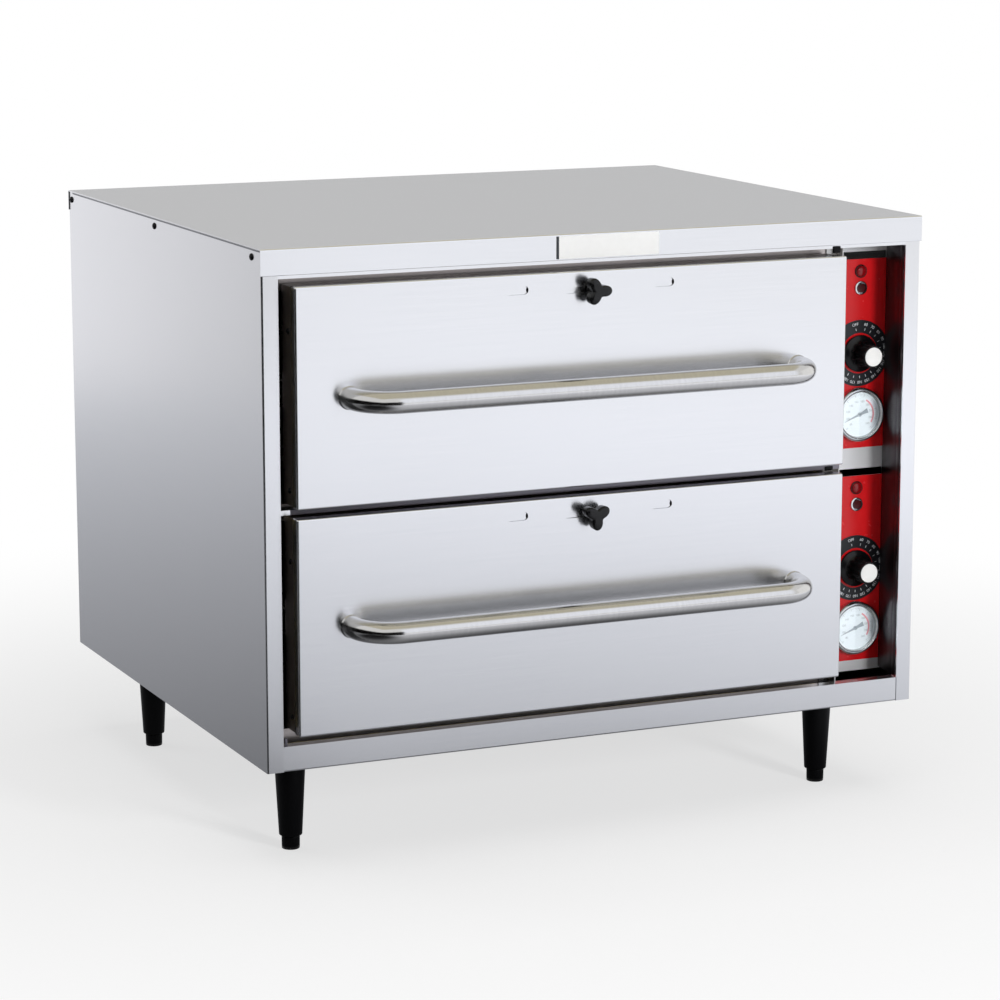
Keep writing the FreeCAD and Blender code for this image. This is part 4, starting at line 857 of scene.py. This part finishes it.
for bay, base in LABEL_BASES.items():
    body = f"{bay}_switch_rocker"
    piece(f"{bay}_rocker", [shell(rocker_rings((CONTROL_X, ROCKER_PIVOT_Y, base + SWITCH_HEIGHT)))],
          ROCKER_PLASTIC, body, replaces=[body])

arc = np.linspace(0.0, np.pi / 2, 9)
lens_dome = np.stack([LABEL_FRONT - 1.7 - 2.8 * np.sin(arc), 0.15 + 5.85 * np.cos(arc)], axis=1)
lens_profile = np.vstack([[(LABEL_FRONT + 19.0, 5.9), (LABEL_FRONT - 1.5, 5.9)], lens_dome])
ring_profile = softened([(LABEL_FRONT, 7.2), (LABEL_FRONT - 1.7, 7.2), (LABEL_FRONT - 1.7, 6.0),
                         (LABEL_FRONT, 6.0)], 0.5)
lamp_centres = [(CONTROL_X, 0.0, base + PILOT_HEIGHT) for base in LABEL_BASES.values()]
piece("pilot_lenses", [shell(turned(lens_profile, centre, "y", 48)) for centre in lamp_centres], PILOT_RED,
      "cabinet", replaces=["pilot_lights"])
piece("pilot_rings", [shell(turned(ring_profile, centre, "y", 48), looped=True) for centre in lamp_centres],
      ROCKER_PLASTIC, "cabinet")

# %% [markdown]
# ## Legs and feet
# The legs are moulded nylon cones with a soft shoulder at the cabinet and a small round at the
# bottom, where the foot's stem screws in and out for levelling. Both are turned profiles, and each
# foot is its own piece because it moves.

# %% Turn the legs and feet
LEG_PLACES = {"front_left": (50.0, 70.0), "front_right": (669.0, 74.0),
              "rear_left": (51.0, 515.0), "rear_right": (669.0, 515.0)}
FOOT_TOP = FLOOR_Z + 14.0


def leg_profile():
    """Collar, cone and lower edge of a leg, from its seat down, then up the bore."""
    outline = [(0.0, 0.3), (0.0, 17.0), (-4.0, 16.9), (-7.0, 16.2), (FOOT_TOP + 0.6, 12.0),
               (FOOT_TOP + 0.6, 7.0)]
    return softened(outline, (0.5, 1.5, 1.5, 1.2), 6)


def foot_profile():
    """Stem, pad shoulder and pad edge of a foot, down to the floor."""
    outline = [(FOOT_TOP + 40.0, 0.3), (FOOT_TOP + 40.0, 6.0), (FOOT_TOP, 6.0), (FOOT_TOP, 9.5),
               (FLOOR_Z, 9.3), (FLOOR_Z, 0.3)]
    return softened(outline, (0.5, 0.4, 1.0, 1.2), 6)


for corner, (x, y) in LEG_PLACES.items():
    piece(f"{corner}_moulded_leg", [shell(turned(leg_profile(), (x, y, 0.0), "z", 72))], NYLON,
          "cabinet", replaces=[f"{corner}_leg"])
    piece(f"{corner}_levelling_foot", [shell(turned(foot_profile(), (x, y, 0.0), "z", 56))], NYLON,
          f"{corner}_foot", replaces=[f"{corner}_foot"])

# %% [markdown]
# ## Screws
# Six screws hold the cover and six the back. A pan head is a dome, and its cross recess is a dip in
# the same height field: deep where a point lies in either arm of the cross, with a soft edge. So
# nothing has to be cut.

# %% Cross-recess screw heads
HEAD_RADIUS, HEAD_HEIGHT, CROSS_DEPTH = 3.6, 1.8, 1.0
COVER_SCREW_PLACES = [(side, y, 517.0) for side in (0.0, 743.0) for y in (26.0, 324.0, 618.0)]
BACK_SCREW_PLACES = [(x, 628.2, z) for x in (9.0, 734.0) for z in (60.0, 260.0, 460.0)]


def head_rings(seat, axis, outward):
    """Dome h(r) = H sqrt(1 - (r/R)^4) less the cross: depth times the larger of two arm windows."""
    radius = np.concatenate([[1.9, HEAD_RADIUS], HEAD_RADIUS * np.sqrt(1 - np.linspace(0.02, 0.999, 16))])
    angle = circle(64)
    r, a = radius[:, None], angle[None, :]
    dome = HEAD_HEIGHT * (1 - np.clip(r / HEAD_RADIUS, 0, 1) ** 4) ** 0.5
    across, along = np.abs(r * np.sin(a)), np.abs(r * np.cos(a))
    arm = np.maximum(fade(-across, -0.75, -0.4) * fade(-along, -2.0, -1.5),
                     fade(-along, -0.75, -0.4) * fade(-across, -2.0, -1.5))
    height = dome - CROSS_DEPTH * arm
    height[:2] = [[-3.0], [0.0]]
    r = np.broadcast_to(r, height.shape).copy()
    first, second, third = AXES[axis]
    rings = np.zeros(height.shape + (3,))
    rings[..., first] = seat[first] + r * np.cos(a)
    rings[..., second] = seat[second] + r * np.sin(a)
    rings[..., third] = seat[third] + outward * height
    return rings


heads = [shell(head_rings(seat, "x", -1.0 if seat[0] == 0.0 else 1.0)) for seat in COVER_SCREW_PLACES]
heads += [shell(head_rings(seat, "y", 1.0)) for seat in BACK_SCREW_PLACES]
piece("pan_head_screws", heads, BLACK_SCREW, "cabinet", replaces=["body_screws"])

# %% [markdown]
# ## Food pans
# A full-size pan is drawn from one sheet. Each level of it is a rounded rectangle, so the whole pan
# is a stack of such loops: out along the floor, round a soft corner, up the tapered wall, over the
# rolled rim and back down the inside, with the sheet's thickness between the two walls.

# %% Pressed pans
PAN_MIDDLE = (335.0, 261.0)
PAN_RIM_HEIGHT, PAN_DEPTH, PAN_SHEET = 162.5, 100.0, 1.0
FLOOR_HALF_X, FLOOR_HALF_Y = 233.0, 132.0       # half widths of the pan's flat floor


def rounded_loops(half_x, half_y, corner, steps=14):
    """Rounded rectangles, one per row: corner centres plus the corner radius times a quarter circle each."""
    quarter = np.linspace(0.0, np.pi / 2, steps)
    angle = (quarter[None, :] + np.arange(4)[:, None] * np.pi / 2).ravel()
    sign_x = np.repeat([1.0, -1.0, -1.0, 1.0], steps)
    sign_y = np.repeat([1.0, 1.0, -1.0, -1.0], steps)
    x = sign_x * (half_x - corner)[:, None] + corner[:, None] * np.cos(angle)
    y = sign_y * (half_y - corner)[:, None] + corner[:, None] * np.sin(angle)
    return x, y


def pan_section():
    """Growth of the half widths, and height, from the floor's middle outside over the rim to the inside."""
    floor = -PAN_DEPTH
    outside = softened([(-120.0, floor), (0.0, floor), (18.5, -1.0), (19.5, 0.0), (30.0, 0.0), (30.5, -1.6)],
                       (8.0, 1.6, 0.8, 0.5), 7)
    inside = softened([(30.5, -1.6), (30.6, 1.0), (17.6, PAN_SHEET), (-1.0, floor + PAN_SHEET),
                       (-120.0, floor + PAN_SHEET)], (1.0, 3.0, 7.5), 7)
    return np.vstack([outside, inside[1:]])


def pan_rings(base):
    """Loops of the section carried round the pan. Widths grow equally in both directions."""
    section = pan_section()
    grow, height = section[:, 0], section[:, 1]
    corner = np.interp(grow, [-120.0, 0.0, 19.0, 30.0], [6.0, 30.0, 31.0, 42.0])
    x, y = rounded_loops(FLOOR_HALF_X + grow, FLOOR_HALF_Y + grow, corner)
    rings = np.zeros(x.shape + (3,))
    rings[..., 0] = PAN_MIDDLE[0] + x
    rings[..., 1] = PAN_MIDDLE[1] + y
    rings[..., 2] = base + PAN_RIM_HEIGHT + height[:, None]
    return rings


for bay, base in BAY_BASES.items():
    piece(f"{bay}_pressed_pan", [shell(pan_rings(base))], PRESSED_SHEET, f"{bay}_drawer",
          replaces=[f"{bay}_food_pan"])

# %% [markdown]
# ## Small trim
# The last pieces are thin, and each of them gives an edge its line. A dark strip closes the left
# edge of the plain name plate. A nylon bumper under each rail stops the drawer fronts from ringing
# against the frame. The cover's front flange ends in a rolled hem, and a darker rod along each of its
# two side folds is a painted dark reflection line. The middle rail's face is a dull strip whose dark
# grey is painted shade, a dark strip paints the shade of the seam where the base rail meets the right
# post, and a folded tab with the same painted shade fills the corner at the bottom left. The post is
# a closed box: its inner wall runs back from the frame's lip to the control label and leans outwards,
# so that it stands clear of the thermometer's rim, and its near-black sheet is painted shade of the
# recess. Blocks with soft edges are enough for all of them; the wall is a block whose x grows with
# its depth.

# %% Name plate strip, bumpers, hem and post wall
PLATE_LEFT, PLATE_Z = 317.0, (501.8, 525.0)
POST_X, POST_Z = 725.15, (27.0, 496.0)          # inner face of the right post, and its height
LIP_Y, WALL_BACK, WALL_LEAN = (2.2, 9.9), 50.5, 0.17
RAIL_X, RAIL_Z = (27.5, 649.5), (262.0, 267.0)
COVER_ENDS, HEM_RADIUS, HEM_PLACE = (-0.98, 743.98), 0.62, (0.0, -0.6, 501.0)
FOLD_AXES, FOLD_HEIGHT, FOLD_SPAN, FOLD_RADIUS = (0.72, 742.28), 525.2, (2.0, 612.0), 1.8


def box_rings(low, high, soft=0.3):
    """A block with soft edges: rounded rectangles in x-z stacked along y, smaller at the two ends."""
    low, high = np.asarray(low, float), np.asarray(high, float)
    half = (high - low) / 2
    middle = (high + low) / 2
    inset = np.array([soft, soft * 0.3, 0.0, 0.0, soft * 0.3, soft])
    front = np.array([0.0, soft * 0.3, soft]) - half[1]
    along = np.concatenate([front, -front[::-1]])
    x, z = rounded_loops(half[0] - inset, half[2] - inset, np.full(6, soft * 1.2), 4)
    rings = np.zeros(x.shape + (3,))
    rings[..., 0] = middle[0] + x
    rings[..., 1] = middle[1] + along[:, None]
    rings[..., 2] = middle[2] + z
    return rings


plate_strip = box_rings((PLATE_LEFT - 0.2, -2.25, PLATE_Z[0]), (PLATE_LEFT + 2.2, -1.25, PLATE_Z[1]))
piece("name_plate_strip", [shell(plate_strip)], STRIP_INK, "cabinet")

bumper_boxes = [((637.0, -1.2, 492.4), (646.0, 1.0, 499.5)), ((631.9, -1.2, 260.8), (641.5, 1.0, 265.5))]
piece("drawer_bumpers", [shell(box_rings(low, high, 0.6)) for low, high in bumper_boxes], NYLON, "cabinet")

hem = turned([(end, HEM_RADIUS) for end in COVER_ENDS], HEM_PLACE, "x", 24)
piece("cover_hem", [shell(hem)], SATIN_WIDE, "cabinet")

# Darker rods on the side folds: painted dark reflection line.
folds = [turned([(y, FOLD_RADIUS) for y in FOLD_SPAN], (x, 0.0, FOLD_HEIGHT), "y", 40) for x in FOLD_AXES]
piece("cover_fold_lines", [shell(fold) for fold in folds], FOLD_LINE_DARK_REFLECTION, "cabinet")

# Near-black sheet on the lip and the wall: painted shade of the control recess.
post_wall = box_rings((POST_X, LIP_Y[1], POST_Z[0]), (POST_X + 0.3, WALL_BACK, POST_Z[1]), 0.1)
post_wall[..., 0] += WALL_LEAN * (post_wall[..., 1] - LIP_Y[1])
lip_skin = box_rings((POST_X, LIP_Y[0], POST_Z[0]), (POST_X + 0.35, LIP_Y[1], POST_Z[1]), 0.1)
piece("control_post_wall", [shell(lip_skin), shell(post_wall)], SHADE_DARK_SHEET, "cabinet")

# Dark strip at the seam: painted shade of the gap between the base rail and the right post.
rail_seam_painted_shade = box_rings((725.2, -0.12, 0.4), (726.0, 0.02, 26.0), 0.05)
piece("rail_seam_painted_shade", [shell(rail_seam_painted_shade)], STRIP_INK, "cabinet")
# The rail strip's dark grey is painted shade of the slot between the drawer fronts.
rail_strip = box_rings((RAIL_X[0], -0.35, RAIL_Z[0]), (RAIL_X[1], 0.02, RAIL_Z[1]), 0.1)
piece("middle_rail_strip", [shell(rail_strip)], SHADED_DULL_SHEET, "cabinet")
# The corner tab's dark grey is painted shade of the gap at the bottom left.
corner_tab = box_rings((19.8, 3.0, 26.0), (22.8, 4.2, 34.0), 0.4)
piece("corner_tab", [shell(corner_tab)], SHADED_DULL_SHEET, "cabinet")

# %% [markdown]
# ## Studio
# Metal shows its surroundings, so the surroundings are part of its finish. The set is plain: a pale
# round floor that fades into a white background, a faint sky, and three soft lamps. The lamps light
# only matt surfaces. What the metal shows are cards, seen only in reflections, hung where a studio
# hangs them. The floor is matt paper near the cabinet, so that it takes a shadow, and its own white
# further out, so that no horizon shows.

# %% Floor
FLOOR_RADIUS, FLOOR_CLEAR, FLOOR_FADED = 9.0, 0.45, 1.4     # metres
FLOOR_GLOW = 0.65         # share of plain white that the floor shows even beside the cabinet


def background_rays(tree):
    """1 for camera, glossy and transmission rays, 0 for the rays that carry light to diffuse surfaces."""
    rays = node(tree, "ShaderNodeLightPath", {}).outputs
    two = node(tree, "ShaderNodeMath", {0: rays["Is Camera Ray"], 1: rays["Is Glossy Ray"]}, operation="ADD")
    return node(tree, "ShaderNodeMath", {0: two.outputs["Value"], 1: rays["Is Transmission Ray"]},
                operation="ADD", use_clamp=True).outputs["Value"]


def distance_ramp(tree, centre, near, far, low, high, kind="SMOOTHSTEP"):
    """A value that goes from low to high between two distances from a point of the object's own space."""
    place = node(tree, "ShaderNodeTexCoord", {}).outputs["Object"]
    offset = node(tree, "ShaderNodeVectorMath", {0: place, 1: centre}, operation="SUBTRACT").outputs["Vector"]
    length = node(tree, "ShaderNodeVectorMath", {0: offset}, operation="LENGTH").outputs["Value"]
    return node(tree, "ShaderNodeMapRange", {
        "Value": length, "From Min": near, "From Max": far, "To Min": low, "To Max": high},
        interpolation_type=kind).outputs["Result"]


def add_mesh(name, points, material):
    """A one-face mesh of the studio, with its material."""
    mesh = bpy.data.meshes.new(name)
    mesh.from_pydata(np.asarray(points, float).tolist(), [], [tuple(range(len(points)))])
    mesh.materials.append(material)
    made = bpy.data.objects.new(name, mesh)
    bpy.context.scene.collection.objects.link(made)
    return made


def disc(radius, height=0.0):
    """Points of a level disc."""
    angle = circle(128)
    return np.stack([radius * np.cos(angle), radius * np.sin(angle), 0 * angle + height], axis=1)


floor_material, tree, output = blank("pale_studio_floor")
faded = distance_ramp(tree, (0.0, 0.0, 0.0), FLOOR_CLEAR, FLOOR_FADED, FLOOR_GLOW, 1.0)
white_share = node(tree, "ShaderNodeMath", {0: faded, 1: background_rays(tree)}, operation="MULTIPLY")
paper = node(tree, "ShaderNodeBsdfDiffuse", {"Color": linear("#FAFAFA")})
white = node(tree, "ShaderNodeEmission", {"Color": (1, 1, 1, 1), "Strength": 1.0})
floor_mix = node(tree, "ShaderNodeMixShader", {
    0: white_share.outputs["Value"], 1: paper.outputs["BSDF"], 2: white.outputs["Emission"]})
tree.links.new(floor_mix.outputs["Shader"], output.inputs["Surface"])
add_mesh("studio_floor", disc(FLOOR_RADIUS), floor_material)
print("floor radius", FLOOR_RADIUS, "m, fades to white from", FLOOR_CLEAR, "to", FLOOR_FADED, "m")

# %% [markdown]
# ## Sky
# The world is the white round the set. Light Path tells the kinds of rays apart, so one sky can be
# plain white where it is seen directly, in metal or through glass, and faint for the rays that light
# matt surfaces. A full white sky there would fill every shadow.

# %% World
DIFFUSE_SKY = 0.15

world = bpy.data.worlds.new("plain_studio")
world.use_nodes = True
bpy.context.scene.world = world
sky = world.node_tree
sky.nodes.clear()
plain = node(sky, "ShaderNodeBackground", {"Color": (1, 1, 1, 1), "Strength": DIFFUSE_SKY})
bright = node(sky, "ShaderNodeBackground", {"Color": (1, 1, 1, 1), "Strength": 1.0})
sky_mix = node(sky, "ShaderNodeMixShader", {
    0: background_rays(sky), 1: plain.outputs["Background"], 2: bright.outputs["Background"]})
node(sky, "ShaderNodeOutputWorld", {"Surface": sky_mix.outputs["Shader"]})
print("sky strength for diffuse surfaces:", DIFFUSE_SKY)

# %% [markdown]
# ## Lamps
# Area lamps give the soft shadows of a studio: one in front and a little to the right, one overhead
# and one at the back left. Each one's power is worked out from the brightness of its face, so that
# brightness is a number that can be compared with the cards'.

# %% Lamps
MIDDLE = (0.0, 0.0, 0.35)


def aim(thing, place, target=MIDDLE):
    """Puts a lamp or a card at a place with its -z side towards a target, both in metres."""
    thing.location = place
    thing.rotation_euler = (Vector(target) - Vector(place)).to_track_quat("-Z", "Y").to_euler()


def soft_lamp(name, place, size, brightness):
    """White oblong lamp for diffuse surfaces. Its power for a brightness is brightness * pi * area."""
    lamp = bpy.data.lights.new(name, "AREA")
    lamp.shape = "RECTANGLE"
    lamp.size, lamp.size_y = size
    lamp.energy = brightness * np.pi * size[0] * size[1]
    holder = bpy.data.objects.new(name, lamp)
    bpy.context.scene.collection.objects.link(holder)
    holder.visible_glossy = False
    aim(holder, place)


soft_lamp("front_lamp", (0.78, -3.0, 1.1), (0.5, 0.5), 54.0)
soft_lamp("overhead_lamp", (0.0, -0.4, 2.9), (2.6, 2.6), 1.9)
soft_lamp("back_left_lamp", (-2.0, 2.6, 1.5), (2.0, 2.0), 1.2)

# %% [markdown]
# ## The floor in the reflections
# The sheets mirror the floor, and a real floor is darker near the cabinet. One disc, seen only in
# reflections, holds that shade: its glow is a product of ramps, each of which grows with the
# distance from a point. One is wide, one lies close under the cabinet, and two darken the floor off
# the front left corner, where the bends of the pulls look. A very distant centre makes a ramp that
# runs straight across the floor: such ramps lift the front and give the part behind and to the left
# of the cabinet its own even level.

# %% Floor card
SHADE_CENTRE = (-0.95, 0.15, 0.0)
FAR = 8.0                 # metres to the centres of the straight ramps


def reflections_only(thing):
    """Hides a card from every ray but the glossy ones."""
    thing.visible_camera = thing.visible_diffuse = thing.visible_transmission = False
    thing.visible_shadow = thing.visible_volume_scatter = False


shade_material, tree, output = blank("floor_shade")
wide_shade = distance_ramp(tree, SHADE_CENTRE, 0.2, 3.3, 0.2, 1.12, "LINEAR")
close_shade = distance_ramp(tree, (0.05, 0.0, 0.0), 0.25, 0.7, 0.2, 1.0)
left_shade = distance_ramp(tree, (-1.25, -1.05, 0.0), 0.45, 1.15, 0.1, 1.0)
corner_shade = distance_ramp(tree, (-0.72, -0.62, 0.0), 0.25, 0.62, 0.1, 1.0)
front_lift = distance_ramp(tree, (0.0, FAR, 0.0), FAR, FAR + 0.8, 1.0, 1.34)
front_level = wide_shade
for factor in (close_shade, left_shade, corner_shade, front_lift):
    front_level = node(tree, "ShaderNodeMath", {0: front_level, 1: factor},
                       operation="MULTIPLY").outputs["Value"]
rear_level = distance_ramp(tree, (0.0, -FAR, 0.0), FAR, FAR + 3.0, 0.23, 0.85, "LINEAR")
behind = distance_ramp(tree, (0.0, FAR, 0.0), FAR - 0.05, FAR + 0.35, 1.0, 0.0)
leftward = distance_ramp(tree, (-FAR, 0.0, 0.0), FAR, FAR + 0.6, 1.0, 0.0)
rear_left = node(tree, "ShaderNodeMath", {0: behind, 1: leftward}, operation="MULTIPLY").outputs["Value"]
level = node(tree, "ShaderNodeMapRange", {
    "Value": rear_left, "To Min": front_level, "To Max": rear_level}).outputs["Result"]
glow = node(tree, "ShaderNodeEmission", {"Color": linear("#F6F8FF"), "Strength": level})
tree.links.new(glow.outputs["Emission"], output.inputs["Surface"])
reflections_only(add_mesh("floor_shade_card", disc(4.2, 0.003), shade_material))
print("floor card ready, darkest near", SHADE_CENTRE)

# %% [markdown]
# ## Cards
# A pale card at the front right is what the drawer fronts mirror, one at the back left grades the
# left side, one at the back and one on the ceiling fill the cover, and one at the right fills the
# right side. Two black flags at the left and low in front give the folded corner and the bends of
# the pulls their dark lines.

# %% Cards
def card(name, place, size, tone, strength=(1.0, 1.0), target=MIDDLE):
    """Flat card that only reflections see. Its strength runs evenly from its left to its right edge."""
    x, y = size[0] / 2, size[1] / 2
    material, tree, output = blank(name + "_tone")
    spot = node(tree, "ShaderNodeTexCoord", {}).outputs["Object"]
    across = node(tree, "ShaderNodeSeparateXYZ", {"Vector": spot}).outputs["X"]
    ramp = node(tree, "ShaderNodeMapRange", {
        "Value": across, "From Min": x, "From Max": -x, "To Min": strength[0], "To Max": strength[1]})
    level = node(tree, "ShaderNodeMath", {0: ramp.outputs["Result"], 1: 0.0}, operation="MAXIMUM")
    glow = node(tree, "ShaderNodeEmission", {"Color": linear(tone), "Strength": level.outputs["Value"]})
    tree.links.new(glow.outputs["Emission"], output.inputs["Surface"])
    made = add_mesh(name, [(-x, -y, 0), (x, -y, 0), (x, y, 0), (-x, y, 0)], material)
    aim(made, place, target)
    reflections_only(made)


card("front_right_card", (1.35, -3.0, 1.45), (2.6, 2.2), "#F3F6FF", (1.4, 1.46))
card("back_left_card", (-1.5, 2.4, 0.96), (2.4, 1.9), "#F5F5F9", (-0.1, 1.62), (0.0, 0.0, 0.96))
card("left_flag", (-1.9, -0.9, 0.47), (3.0, 0.94), "#0A0A0A", target=(0.0, -0.9, 0.47))
card("low_front_flag", (-1.1, -1.7, 0.38), (2.2, 0.75), "#0A0A0A", target=(-1.1, 0.0, 0.38))
card("back_card", (1.6, 4.2, 1.3), (4.4, 2.5), "#CECECF")
card("ceiling_card", (0.2, -0.2, 3.1), (4.6, 4.6), "#E2DCC6", (0.95, 0.95), (0.2, -0.2, 0.0))
card("right_card", (2.3, -0.6, 0.75), (2.0, 1.5), "#FFFFFF", (1.2, 1.2), (0.0, -0.6, 0.75))

# %% [markdown]
# ## View transform
# The view transform is set to Standard. The visible model has to stay inside the box of
# the imported model.

# %% Finish
bpy.context.scene.view_settings.view_transform = "Standard"
